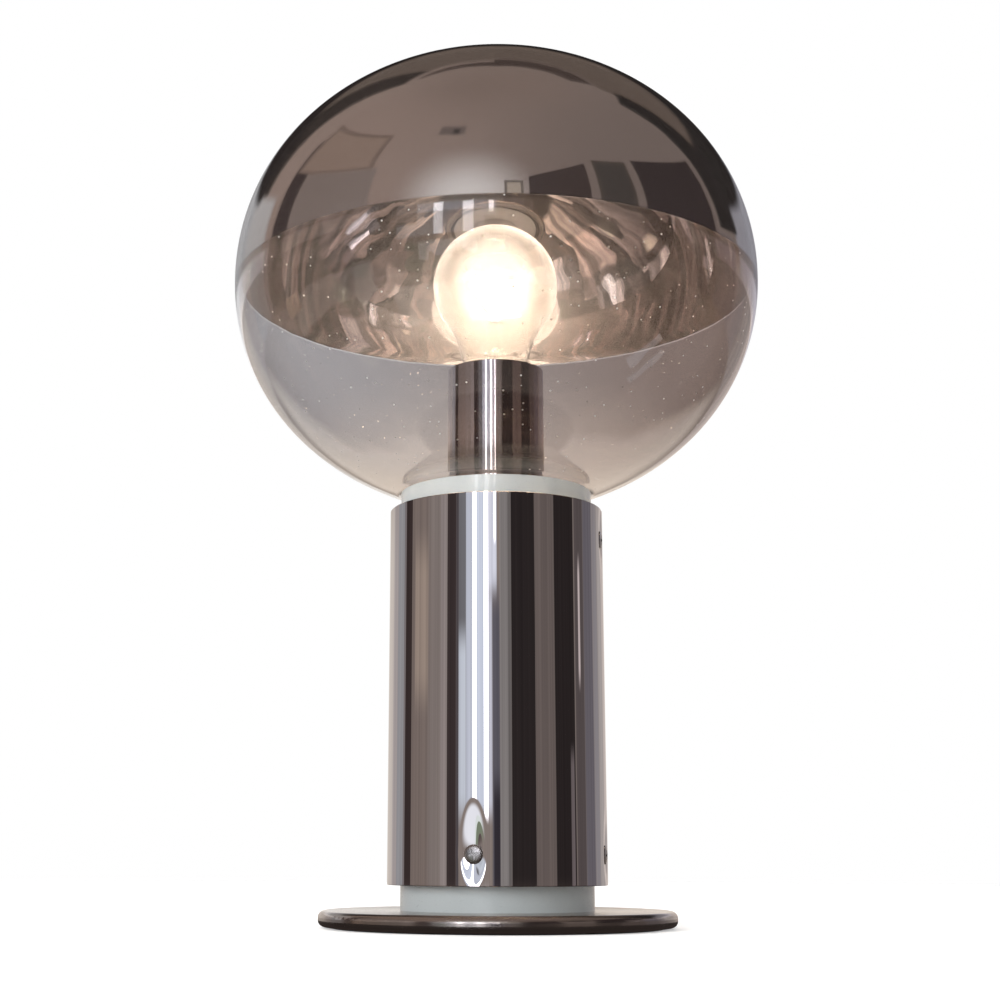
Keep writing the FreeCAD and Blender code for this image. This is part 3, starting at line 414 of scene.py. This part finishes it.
MATERIALS = {
    "satin_steel": satin_steel(),
    "felt": felt(),
    "screw_steel": plain_metal("screw_steel", (150, 148, 148), (178, 175, 174), 0.22),
    "white_gloss": enamel("white_gloss", (195, 200, 200), (187, 192, 192), 0.26, coat=0.6),
    "black_rubber": enamel("black_rubber", (30, 30, 31), (44, 43, 43), 0.6, bump=0.3),
    "polished_chrome": chrome(),
    "clear_glass": globe_glass(),
    "silvering": silvering(),
    "bulb_glass": bulb_glass(),
    "nickel_cap": plain_metal("nickel_cap", (196, 192, 186), (214, 210, 203), 0.2),
    "black_glass": enamel("black_glass", (14, 14, 15), (26, 25, 25), 0.1, coat=0.5),
    "solder": plain_metal("solder", (168, 168, 170), (196, 196, 196), 0.35),
    "lead_wire": plain_metal("lead_wire", (160, 156, 150), (186, 182, 176), 0.3),
    "glowing_filament": filament(),
    "black_bakelite": enamel("black_bakelite", (22, 20, 19), (36, 33, 30), 0.3, coat=0.3),
    "porcelain": enamel("porcelain", (232, 228, 218), (220, 215, 204), 0.5),
    "brass": plain_metal("brass", (196, 160, 92), (216, 184, 120), 0.25),
    "brown_lead": enamel("brown_lead", (92, 54, 32), (108, 66, 42), 0.5),
    "blue_lead": enamel("blue_lead", (40, 84, 150), (54, 100, 166), 0.5),
    "green_lead": enamel("green_lead", (70, 140, 52), (96, 160, 66), 0.5),
}


# Pieces ----------------------------------------------------------------

def add_lathe(name, outline, body, slot, replaced, steps, sharp):
    finish_mesh(name, lathe(name, outline, steps), body, slot, replaced, sharp)


UPPER_BULGE = 2.047
LOWER_BULGE = 2.054
NECK_START = 0.6 * MM
LIP_RADIUS = 0.9 * MM
FILM_FACES = (0.12 * MM, 0.32 * MM)


def globe_curve(inset, start, steps):
    """The globe's outline from an angle above its equator to its top, inset from its outer face."""
    points = []
    for i in range(steps + 1):
        angle = radians(start + (90 - start) * i / steps)
        upper = angle >= 0
        power = 2 / (UPPER_BULGE if upper else LOWER_BULGE)
        height = (GLOBE_TOP - GLOBE_EQUATOR) if upper else (GLOBE_EQUATOR - GLOBE_LOW)
        radius = (GLOBE_RADIUS - inset) * max(cos(angle), 0) ** power
        rise = math.copysign((height - inset) * abs(sin(angle)) ** power, angle)
        points.append((radius, GLOBE_EQUATOR + rise))
    points[-1] = (0, points[-1][1])
    return points


def globe_wall(inset, neck):
    """One face of the glass: the mouth of the neck, then from the neck over the bowl to the top."""
    curve = globe_curve(inset, -89, 96)
    bowl = [p for p in curve if p[0] > neck + NECK_START or p[1] > GLOBE_EQUATOR]
    return [(neck, GLOBE_LOW + NECK_START)] + bowl


def build_globe():
    bore = NECK_RADIUS - GLOBE_WALL
    lip = arc(((NECK_RADIUS + bore) / 2, GLOBE_LOW + LIP_RADIUS), LIP_RADIUS, 180, 360)
    outline = globe_wall(GLOBE_WALL, bore)[::-1] + lip + globe_wall(0, NECK_RADIUS)
    add_lathe("globe_glass_blown", outline, "globe", "clear_glass", ["globe_glass"], 256, radians(75))


def build_film():
    """The silvering's two faces, which meet in a fine lower edge."""
    start = math.degrees(math.asin((FILM_LOW - GLOBE_EQUATOR) / (GLOBE_EQUATOR - GLOBE_LOW)))
    outer, inner = [globe_curve(GLOBE_WALL + depth, start, 72) for depth in FILM_FACES]
    outline = inner[:0:-1] + outer
    add_lathe("globe_mirror_film", outline, "globe", "silvering", ["mirror_film"], 256, radians(60))


DIMPLE_HALF_WIDTH = 6.4 * MM
DIMPLE_ABOVE = 24 * MM
DIMPLE_BELOW = 15 * MM
DIMPLE_DEPTH = 0.92 * MM
DIMPLE_SPREAD = 1.1
TURN_STEPS = (radians(2), radians(0.45))
LEVEL_STEPS = (6 * MM, 0.7 * MM)
TUBE_EDGE = 0.25 * MM


def spaced(points, start, end, steps, spread):
    """Values from start to end, in fine steps within the spread of each given point, else in coarse ones."""
    coarse, fine = steps
    values = []
    value = start
    while value < end - 1e-9:
        values.append(value)
        near = any(p - spread[0] <= value < p + spread[1] for p in points)
        value += fine if near else coarse
    return values + [end]


def dimple_depth(across, up):
    """How far the tube is drawn in beside a screw: deepest under its head, drawn out above it."""
    length = DIMPLE_ABOVE if up > 0 else DIMPLE_BELOW
    far = math.hypot(across / DIMPLE_HALF_WIDTH, up / length)
    if far >= 1:
        return 0
    return DIMPLE_DEPTH * (1 - far * far) ** 2


def build_column():
    """The plated tube, drawn in round each of its screws."""
    bottom = low("column_tube")
    upper = top("column_tube")
    lower_row = [SCREW_TURN + pi / 2 * i for i in range(4)]
    upper_row = [SCREW_TURN + pi * i for i in range(2)]
    screws = [(a, LOWER_SCREW_LEVEL) for a in lower_row] + [(a, UPPER_SCREW_LEVEL) for a in upper_row]
    half = DIMPLE_HALF_WIDTH / COLUMN_RADIUS * DIMPLE_SPREAD
    turns = spaced([a % (2 * pi) for a in lower_row], 0, 2 * pi, TURN_STEPS, (half, half))[:-1]
    levels = spaced([LOWER_SCREW_LEVEL, UPPER_SCREW_LEVEL], bottom, upper, LEVEL_STEPS,
                    (DIMPLE_BELOW, DIMPLE_ABOVE))

    def drawn_in(turn, level):
        depth = 0
        for angle, height in screws:
            gap = (turn - angle + pi) % (2 * pi) - pi
            depth += dimple_depth(gap * COLUMN_RADIUS, level - height)
        return depth

    section = [(COLUMN_RADIUS - TUBE_EDGE, bottom), (COLUMN_RADIUS, bottom + TUBE_EDGE)]
    section += [(COLUMN_RADIUS, level) for level in levels[1:-1]]
    section += [(COLUMN_RADIUS, upper - TUBE_EDGE), (COLUMN_RADIUS - TUBE_EDGE, upper)]
    section += [(COLUMN_RADIUS - COLUMN_WALL, level) for level in levels[::-1]]
    rings = []
    for radius, level in section:
        ring = []
        for turn in turns:
            there = radius - (drawn_in(turn, level) if radius == COLUMN_RADIUS else 0)
            ring.append((there * cos(turn), there * sin(turn), level))
        rings.append(ring)
    mesh = grid_mesh("column_tube_plated", rings, closed_section=True)
    finish_mesh("column_tube_plated", mesh, "stand", "polished_chrome", ["column_tube"], radians(30))


BULB_WALL = 0.8 * MM
BULB_NECK = 15 * MM
BULB_MEET = radians(-38)
NECK_PULL = 9.8 * MM
BALL_PULL = 10 * MM
SWEEP_STEPS = 24
BALL_STEPS = 32


def bulb_outline(inset):
    """The bulb from its neck to its top: a ball that narrows to the neck in one sweep."""
    start = (BULB_NECK, low("bulb_glass"))
    above = (BULB_NECK, low("bulb_glass") + NECK_PULL)
    meeting = (BULB_RADIUS * cos(BULB_MEET), BULB_MIDDLE + BULB_RADIUS * sin(BULB_MEET))
    below = (meeting[0] + BALL_PULL * sin(BULB_MEET), meeting[1] - BALL_PULL * cos(BULB_MEET))
    corners = (start, above, below, meeting)
    points = []
    for i in range(SWEEP_STEPS):
        t = i / SWEEP_STEPS
        weights = ((1 - t) ** 3, 3 * t * (1 - t) ** 2, 3 * t * t * (1 - t), t ** 3)
        radius = sum(w * corner[0] for w, corner in zip(weights, corners))
        height = sum(w * corner[1] for w, corner in zip(weights, corners))
        points.append((radius - inset, height))
    ball = BULB_RADIUS - inset
    for i in range(BALL_STEPS + 1):
        angle = BULB_MEET + (pi / 2 - BULB_MEET) * i / BALL_STEPS
        points.append((ball * cos(angle), BULB_MIDDLE + ball * sin(angle)))
    points[-1] = (0, points[-1][1])
    return points


def build_bulb():
    outline = bulb_outline(BULB_WALL)[::-1] + bulb_outline(0)
    add_lathe("bulb_glass_blown", outline, "bulb", "bulb_glass", ["bulb_glass"], 128, radians(60))


FILAMENT_TURNS = 26
FILAMENT_COIL = 1.1 * MM
FILAMENT_WIRE = 0.28 * MM
FILAMENT_HALF = 12 * MM
COIL_STEPS = 12


def build_filament():
    """A coiled wire between the tops of the two lead wires."""
    half = FILAMENT_HALF - FILAMENT_WIRE
    level = top("bulb_filament") - FILAMENT_COIL - FILAMENT_WIRE
    curve = bpy.data.curves.new("filament_coil", "CURVE")
    curve.dimensions = "3D"
    curve.bevel_depth = FILAMENT_WIRE
    curve.bevel_resolution = 3
    spline = curve.splines.new("POLY")
    count = FILAMENT_TURNS * COIL_STEPS + 1
    spline.points.add(count - 1)
    for i in range(count):
        turn = 2 * pi * i / COIL_STEPS
        along = -half + 2 * half * i / (count - 1)
        spline.points[i].co = (along, FILAMENT_COIL * cos(turn), level + FILAMENT_COIL * sin(turn), 1)
    coil = placed("filament_coil", curve)
    curve.materials.append(MATERIALS["glowing_filament"])
    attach(coil, "bulb")
    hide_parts("bulb_filament")


def dress_cad_nodes():
    """Every CAD node that is still shown takes the material of its slot."""
    for part in frame["record"]["subparts"]:
        mesh = nodes[part["node"]].data
        mesh.materials.clear()
        mesh.materials.append(MATERIALS[part["material_slot"]])


dress_cad_nodes()
build_globe()
build_film()
build_column()
build_bulb()
build_filament()


# The room that mirrored rays see ---------------------------------------

PANE = (255, 255, 255)
WINDOW = 5.0
WINDOW_BLUE = 1.06


def seen(*channels):
    """The brightness of a wall from its colour as the chrome shows it."""
    return tuple(c / CHROME_SHARE for c in srgb(*channels))


# Each patch of the room, with angles in degrees: azimuth from and to (0 in front of the lamp, positive to
# its right), height above the horizon from and to, the rise of its top from left to right, its colour as
# chrome shows it, and the softness of its edges. A bright pane is as strong as WINDOW.
ROOM = [
    ("behind_left", -185, -140, 13, 30, 0, (150, 149, 150), 2),
    ("behind_right", 128, 185, 13, 30, 0, (128, 126, 132), 2),
    ("left_pale", -141, -119, 13, 30, 0, (158, 155, 154), 3),
    ("wall_left_far", -150, -129, -4, 13, 0, (157, 150, 149), 8),
    ("wall_behind_left", -172, -143, -4, 13, 0, (186, 178, 171), 7),
    ("wall_behind_left_end", -185, -169, -4, 13, 0, (212, 208, 204), 5),
    ("wall_left_grey", -130, -115, -4, 18, 0, (141, 141, 144), 2),
    ("post_left_pale", -116, -112.5, -4, 20, 0, (115, 109, 110), 1),
    ("curtain_left", -112.5, -101, -4, 47, -2, (53, 44, 43), 1.5),
    ("wall_left", -101, -56, -4, 37, 0, (113, 102, 97), 1.5),
    ("wall_left_pale", -76, -56, -4, 21, 0, (123, 114, 110), 8),
    ("wall_left_edge", -61, -53, -4, 20, 0, (135, 126, 124), 2),
    ("lampshade_left", -96, -77, 5.5, 10.5, 0, (142, 128, 118), 2),
    ("door_dark_left", -53, -43, -4, 20, 0, (54, 46, 46), 0.8),
    ("door_frame", -43, -40.5, -4, 20, 0, (74, 69, 72), 0.6),
    ("window_left_high", -40.5, -32, 7, 17, 0, (104, 104, 108), 1.5),
    ("window_left", -40.5, -32, 1.5, 7.5, 0, (186, 193, 203), 1.5),
    ("window_grey", -32, -25, 1.5, 17, 0, (188, 194, 207), 1),
    ("window_pane", -25, -21, 1.5, 17, 0, (255, 255, 255), 0.8),
    ("window_bar", -21, -13, 1.5, 17, 0, (196, 204, 219), 0.8),
    ("window_bright", -13, -8.5, 1.5, 17, 0, (255, 255, 255), 0.8),
    ("window_right", -8.5, 0.5, 9, 17, 0, (205, 208, 220), 1),
    ("window_last", -2.5, -0.5, 11, 17, 0, (255, 255, 255), 0.8),
    ("window_right_low", -8.5, -4, 1.5, 9, 0, (190, 192, 204), 1),
    ("dark_low", -4, 3.5, -4, 9, 0, (88, 86, 94), 2),
    ("dark_lowest", -3, 3.5, -4, 2.5, 0, (50, 46, 52), 1.5),
    ("wall_front", 3.5, 12.5, -4, 20, 0, (124, 120, 119), 1),
    ("wall_front_shade", 12, 15.5, -4, 20, 0, (97, 93, 92), 1.5),
    ("cupboard", 15.5, 41, -5, 21, 0, (40, 35, 35), 0.8),
    ("wall_right_brown", 41, 63.5, -4, 21, 0, (97, 88, 85), 1.2),
    ("bookcase", 63.5, 90, -5, 21, 0, (38, 33, 33), 1.2),
    ("bookcase_edge", 83, 88, -3, 3.5, 0, (98, 90, 91), 1),
    ("shelves_right", 91, 106, -4, 20, 0, (78, 71, 71), 3),
    ("shelf_glint", 96.5, 99.5, 6, 10, 0, (184, 172, 171), 1),
    ("wall_right_near", 106, 124, -4, 20, 0, (95, 91, 97), 3),
    ("wall_right", 124, 137, -4, 13, 0, (130, 126, 129), 6),
    ("wall_right_far", 136, 152, -4, 13, 0, (152, 146, 144), 6),
    ("wall_behind_right", 152, 170, -4, 13, 0, (178, 168, 163), 6),
    ("wall_behind_right_end", 168, 185, -4, 13, 0, (208, 198, 188), 5),
    ("small_frame", 4, 12, 20, 27, 0, (96, 88, 82), 0.6),
    ("small_picture", 5.2, 10.8, 21, 25.8, 0, (150, 140, 128), 0.6),
    ("panel_sloping", 14.5, 41.5, 17, 29, 8, (52, 42, 40), 0.6),
    ("picture_right", 45.5, 63.5, 20, 39, 0, (66, 59, 54), 0.6),
    ("picture_dark", 47, 62, 20, 37.5, 0, (56, 51, 48), 1.5),
    ("panel_right", 68, 110, 18, 40, 0, (44, 36, 36), 0.8),
    ("hatch_edge", -111, -59, 37, 53, 0, (106, 91, 83), 1),
    ("hatch", -108, -62, 38, 51.5, 0, (125, 108, 98), 1),
    ("ceiling_fitting", -32, -17, 53, 58, 0, (92, 82, 78), 2.5),
    ("ceiling_fitting_dark", -24, -20, 53.5, 56.5, 0, (58, 52, 50), 1.2),
    ("beam_behind_left", -185, -138, 68, 74, -5, (60, 50, 46), 2),
    ("beam_behind_right", 130, 185, 64.5, 70, 4, (60, 50, 46), 2),
    ("above_behind_left", -185, -150, 38, 66, 0, (88, 77, 70), 2),
    ("above_behind_right", 126, 185, 38, 64, 0, (86, 75, 68), 2),
    ("post_left", -152, -132, 30, 66, 0, (47, 41, 38), 2),
    ("post_right", 114, 130, 22, 60, 0, (32, 28, 27), 1),
    ("shadow_behind_left", -185, -138, 28, 41, 0, (38, 33, 32), 2.5),
    ("shadow_behind_right", 120, 185, 27, 41, 0, (36, 32, 31), 2.5),
]

# The same for what lies below the horizon, which the inside of the silvered cap shows.
FLOOR_AND_FURNITURE = [
    ("behind_left_below", -185, -142, -64, -4, 0, (214, 204, 194), 14),
    ("behind_right_below", 142, 185, -64, -4, 0, (210, 200, 190), 14),
    ("floor_left_dark", -100, -60, -26, -4, 0, (72, 64, 60), 8),
    ("floor_right_dark", 20, 70, -46, -24, 0, (92, 83, 79), 12),
    ("wall_low_left", -98, -40, -18, -4, 0, (165, 156, 149), 2),
    ("post_low", -112, -101, -16, -4, 0, (124, 114, 110), 1),
    ("tan_low", -104, -93, -9, -1, 0, (187, 160, 141), 1),
    ("pane_low_left", -63, -53, -22, -6, 0, (204, 200, 194), 1),
    ("door_low", -51, -40, -17, -4, 0, (86, 77, 75), 1),
    ("garden", -40, -14, -16, 1.5, 0, (118, 128, 110), 1),
    ("garden_pale", -32, -26, -12, 0, 0, (214, 222, 220), 1),
    ("sill", -22, -14, -9, 1.5, 0, (208, 215, 225), 1),
    ("sill_bright", -27, -9, -8, 1.5, 0, (226, 229, 236), 1.5),
    ("dark_below", -9, 4, -12, -1, 0, (50, 45, 48), 1.5),
    ("rug", -74, -40, -48, -26, 0, (184, 164, 150), 3),
    ("cloth", -46, -22, -40, -22, 0, (196, 189, 184), 2),
    ("cupboard_low", 6, 38, -18, -4, 0, (58, 51, 51), 1.5),
    ("wall_low_right", 40, 63, -30, -4, 0, (140, 131, 125), 2),
    ("spot_right", 51, 58, -24, -17, 0, (212, 204, 196), 1.5),
    ("bookcase_low", 63, 90, -26, -4, 0, (80, 71, 69), 1.5),
    ("shelves_low", 90, 120, -28, -4, 0, (120, 110, 105), 3),
    ("pane_low_right", 84, 89, -42, -26, 0, (216, 220, 228), 1),
    ("pane_low_far", 94, 98, -46, -30, 0, (190, 195, 203), 1),
    ("plate", -87, -77, -46, -39, 0, (168, 160, 142), 2),
    ("ring", -97, -90, -28, -23, 0, (160, 150, 134), 1.5),
]


def direction_angles(n):
    """The direction that the world is seen in, its share to the right, its azimuth and its height."""
    direction = n.new("ShaderNodeTexCoord").outputs["Generated"]
    across, away, up = n.axes(direction)
    azimuth = n.math("DEGREES", n.math("ARCTAN2", across, n.times(away, -1.0)))
    height = n.math("DEGREES", n.math("ARCSINE", up))
    return direction, across, azimuth, height


def between(n, rising, start, falling, end, soft):
    """1 where the first value has passed its start and the second hasn't passed its end, else 0."""
    half = soft / 2
    return n.times(n.smooth(rising, start - half, start + half),
                   n.smooth(falling, end - half, end + half, 1.0, 0.0))


def patch(n, room, azimuth, height, left, right, bottom, upper, rise, colour, soft):
    """The room with one patch laid over it."""
    lowered = height
    if rise:
        slope = rise / (right - left)
        lowered = n.math("SUBTRACT", height, n.times(n.math("SUBTRACT", azimuth, left), slope))
    mask = n.times(between(n, azimuth, left, azimuth, right, soft),
                   between(n, height, bottom, lowered, upper, soft))
    strength = seen(*colour)
    if colour == PANE:
        strength = (WINDOW, WINDOW, WINDOW * WINDOW_BLUE)
    return n.mix(mask, room, strength)


GLOW_TURN = radians(-12)
GLOW_HEIGHT = radians(14)
GLOW_SPREAD = (4, 34)


def ceiling_glow(n, direction):
    """How strongly the window's light shows on the ceiling, by the angle from the middle of its glow."""
    level = cos(GLOW_HEIGHT)
    middle = (sin(GLOW_TURN) * level, -cos(GLOW_TURN) * level, sin(GLOW_HEIGHT))
    near = n.new("ShaderNodeVectorMath", {0: direction, 1: middle}, operation="DOT_PRODUCT").outputs["Value"]
    return n.smooth(n.math("DEGREES", n.math("ARCCOSINE", near)), *GLOW_SPREAD, 1.0, 0.0)


CEILING_SIDES = (-0.8, 0.8)
CEILING_OVERHEAD = (62, 88)


def ceiling(n, direction, across, height):
    """A plain ceiling, paler to the left and lit by the windows."""
    colour = n.mix(n.smooth(across, *CEILING_SIDES), seen(131, 115, 107), seen(104, 93, 88))
    colour = n.mix(n.smooth(height, *CEILING_OVERHEAD), colour, seen(114, 100, 93))
    return n.mix(ceiling_glow(n, direction), colour, seen(196, 193, 191))


BEND_SCALE = 3.0
BEND_TURN = 22.0
BEND_RISE = 12.0


def wobbled(n, direction, azimuth, height):
    """The two angles, bent a little, so that what stands about in the room has uneven edges."""
    bend = n.new("ShaderNodeTexNoise", {"Vector": direction, "Scale": BEND_SCALE, "Detail": 1.0})
    across, up, _ = n.channels(bend.outputs["Color"])
    turned = n.math("MULTIPLY_ADD", n.math("SUBTRACT", across, 0.5), BEND_TURN, azimuth)
    raised = n.math("MULTIPLY_ADD", n.math("SUBTRACT", up, 0.5), BEND_RISE, height)
    return turned, raised


CELLS_A_DEGREE = (0.13, 0.045)
BANDS_A_DEGREE = 0.22
BEHIND = (118, 140)
WALLS_TO_CAP = 2.5


def clutter(n, azimuth, height):
    """Uneven brightness from things that stand about, as a factor; only the cap's inside shows it."""
    place = n.vector(n.times(azimuth, CELLS_A_DEGREE[0]), n.times(height, CELLS_A_DEGREE[1]))
    cells = n.new("ShaderNodeTexVoronoi", {"Vector": place, "Scale": 1.0, "Randomness": 1.0},
                  distance="CHEBYCHEV", voronoi_dimensions="2D")
    shade = n.smooth(n.channels(cells.outputs["Color"])[0], 0.25, 1.0, 0.42, 3.9)
    upright = n.smooth(n.noise(1, 3, n.vector(n.times(azimuth, BANDS_A_DEGREE))), 0.35, 0.65, 0.5, 1.5)
    behind = n.smooth(n.math("ABSOLUTE", azimuth), *BEHIND, 1.0, 0.5)
    uneven = n.times(n.times(shade, upright), behind)
    walls_passed = n.new("ShaderNodeLightPath").outputs["Transmission Depth"]
    shown = n.math("GREATER_THAN", walls_passed, WALLS_TO_CAP)
    return n.math("MULTIPLY_ADD", n.math("SUBTRACT", uneven, 1.0), shown, 1.0)


CEILING_STARTS = (13, 18)
UNEVEN_WALLS = 0.16
BAND_STARTS = (12.4, 13.2)
BAND_ENDS = (17, 18.5)
BAND_LIGHT = 1.1


def wall_light(n, azimuth, height):
    """How brightly the room is lit: faintly uneven walls, and a bright band where they meet the ceiling."""
    lines = n.vector(n.times(azimuth, 0.4), n.times(height, 0.02))
    uneven = n.smooth(n.noise(1, 3, lines), 0.2, 0.8, -UNEVEN_WALLS, UNEVEN_WALLS)
    walls = n.math("MULTIPLY_ADD", uneven, n.smooth(height, *CEILING_STARTS, 1.0, 0.0), 1.0)
    band = n.times(n.smooth(height, *BAND_STARTS), n.smooth(height, *BAND_ENDS, BAND_LIGHT, 0.0))
    return n.math("MULTIPLY_ADD", walls, band, walls)


# World, floor and light ------------------------------------------------

def mirrored_ray(n, path):
    """1 for rays that a mirror or glass surface has sent on and no dull one, else 0."""
    shiny = n.math("GREATER_THAN", path.outputs["Glossy Depth"], 0.5)
    return n.times(shiny, n.math("LESS_THAN", path.outputs["Diffuse Depth"], 0.5))


def straight_ray(n, path):
    """1 for rays that show the background itself, straight or through glass, else 0."""
    undimmed = n.math("LESS_THAN", path.outputs["Diffuse Depth"], 0.5)
    through = n.times(path.outputs["Is Transmission Ray"], undimmed)
    return n.math("MAXIMUM", path.outputs["Is Camera Ray"], through)


def background(n, colour, strength):
    return n.new("ShaderNodeBackground", {"Color": colour, "Strength": strength}).outputs[0]


LIGHT = 0.55
WHITE = (1.0, 1.0, 1.0)
HORIZON = (-3, -0.5)
FLOOR_NEAR = (-75, -18)


def build_world():
    """White round about; what mirrors shows a plain room with windows behind the camera."""
    world = bpy.data.worlds.new("studio")
    world.use_nodes = True
    scene.world = world
    n = Nodes(world.node_tree)
    direction, across, azimuth, height = direction_angles(n)
    wall = seen(130, 120, 115)
    above = n.mix(n.smooth(height, *CEILING_STARTS), wall, ceiling(n, direction, across, height))
    for _, *shape in ROOM:
        above = patch(n, above, azimuth, height, *shape)
    below = n.mix(n.smooth(height, *FLOOR_NEAR), seen(150, 140, 130), seen(108, 97, 91))
    turned, raised = wobbled(n, direction, azimuth, height)
    for _, *shape in FLOOR_AND_FURNITURE:
        below = patch(n, below, turned, raised, *shape)
    # Two backgrounds, because one chain of colours as long as both would be too long for the renderer.
    room = n.over(n.smooth(height, *HORIZON), background(n, below, clutter(n, turned, raised)),
                  background(n, above, wall_light(n, azimuth, height)))
    path = n.new("ShaderNodeLightPath")
    light = n.mix(straight_ray(n, path), (LIGHT, LIGHT, LIGHT), WHITE)
    shown = n.over(mirrored_ray(n, path), background(n, light, 1.0), room)
    n.output(shown, "ShaderNodeOutputWorld")


FLOOR_RADIUS = 2.0
FLOOR_MIDDLE = 0.4
FLOOR_LIFT = 0.42
FLOOR_FADE = (FLOOR_RADIUS * 0.35, FLOOR_RADIUS * 0.9)
FLOOR_GAP = 0.05 * MM
# How far from the axis the painted shadow round the foot reaches, and how softly it fades out.
PAINTED_SHADOW_RADIUS = 110 * MM
PAINTED_SHADOW_FADE = 20 * MM


def build_floor():
    """A white floor that fades out far from the lamp; mirrors see none of it but a painted shadow, a dark
    ring round the foot.
    """
    made, n = material("studio_floor")
    far = n.new("ShaderNodeVectorMath", {0: n.place()}, operation="LENGTH").outputs["Value"]
    grain = n.noise(900, 2)
    base = n.mix(grain, srgb(243, 243, 243), srgb(248, 248, 248))
    paper = n.shader(Base_Color=base, Roughness=0.9, Normal=n.bump(grain, 0.1, 0.0001))
    path = n.new("ShaderNodeLightPath")
    glow = n.glow((1, 1, 1), n.times(straight_ray(n, path), FLOOR_LIFT))
    lit = n.new("ShaderNodeAddShader", {0: paper, 1: glow}).outputs[0]
    plain = n.over(n.smooth(far, *FLOOR_FADE), lit, n.clear())
    # Painted shadow: a dark glowing ring round the foot, shown only to mirrored rays, that stands in for the
    # shaded floor by the lamp.
    shade = n.glow(seen(48, 42, 40), 1.0)
    mirrored = n.over(n.smooth(far, PAINTED_SHADOW_RADIUS, PAINTED_SHADOW_RADIUS + PAINTED_SHADOW_FADE), shade, n.clear())
    n.output(n.over(mirrored_ray(n, path), plain, mirrored))
    mesh = lathe("studio_floor", [(0, 0), (FLOOR_MIDDLE, 0), (FLOOR_RADIUS, 0)], 64)
    floor = placed("studio_floor", mesh)
    mesh.materials.append(made)
    floor.location.z = -FLOOR_GAP


LAMP_AIM = Vector((0, 0, 0.2))
BULB_WATTS = 1.9
BULB_COLOUR = (1.0, 0.9, 0.77)
BULB_LIGHT_RADIUS = 4 * MM


def add_softbox(name, place, size, watts, colour):
    """A soft lamp that points at the middle of the object and isn't mirrored in it."""
    lamp = bpy.data.lights.new(name, "AREA")
    lamp.shape = "DISK"
    lamp.size = size
    lamp.energy = watts
    lamp.color = colour
    holder = placed(name, lamp)
    holder.location = place
    aim = LAMP_AIM - Vector(place)
    holder.rotation_euler = aim.to_track_quat("-Z", "Y").to_euler()
    holder.visible_glossy = False
    holder.visible_camera = False
    holder.visible_transmission = False


def add_bulb_light():
    """The bulb's own light, from the middle of its filament."""
    bulb = bpy.data.lights.new("bulb_light", "POINT")
    bulb.energy = BULB_WATTS
    bulb.color = BULB_COLOUR
    bulb.shadow_soft_size = BULB_LIGHT_RADIUS
    holder = placed("bulb_light", bulb)
    holder.location = (0, 0, top("bulb_filament") - 1 * MM)
    holder.visible_camera = False
    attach(holder, "bulb")


def build_lights():
    add_softbox("window_softbox", place=(-0.8, -1.05, 0.5), size=0.9, watts=12, colour=(0.94, 0.97, 1.0))
    add_softbox("rear_softbox", place=(-0.2, 1.3, 0.8), size=1.0, watts=7, colour=(1.0, 0.95, 0.9))
    add_bulb_light()


# Camera ----------------------------------------------------------------

CAMERA_PLACE = Vector((0, -0.7623, 0.0301))
CAMERA_PITCH = radians(12.219)
CAMERA_YAW = radians(-1.627)
CAMERA_ROLL = radians(0.15)
CAMERA_LENS = 59.62
CAMERA_SENSOR = 36
CAMERA_SHIFT = 0.05
CAMERA_NEAR = 0.01


def build_camera():
    camera = bpy.data.cameras.new("photo_camera")
    camera.lens = CAMERA_LENS
    camera.sensor_width = CAMERA_SENSOR
    camera.shift_x = CAMERA_SHIFT
    camera.clip_start = CAMERA_NEAR
    holder = placed("photo_camera", camera)
    level = cos(CAMERA_PITCH)
    forward = Vector((sin(CAMERA_YAW) * level, cos(CAMERA_YAW) * level, sin(CAMERA_PITCH)))
    level_right = Vector((cos(CAMERA_YAW), -sin(CAMERA_YAW), 0))
    level_up = level_right.cross(forward)
    right = level_right * cos(CAMERA_ROLL) + level_up * sin(CAMERA_ROLL)
    up = level_up * cos(CAMERA_ROLL) - level_right * sin(CAMERA_ROLL)
    turn = Matrix((right, up, -forward)).transposed()
    holder.matrix_world = Matrix.Translation(CAMERA_PLACE) @ turn.to_4x4()
    scene.camera = holder


build_world()
build_floor()
build_lights()
build_camera()
scene.view_settings.view_transform = "Standard"
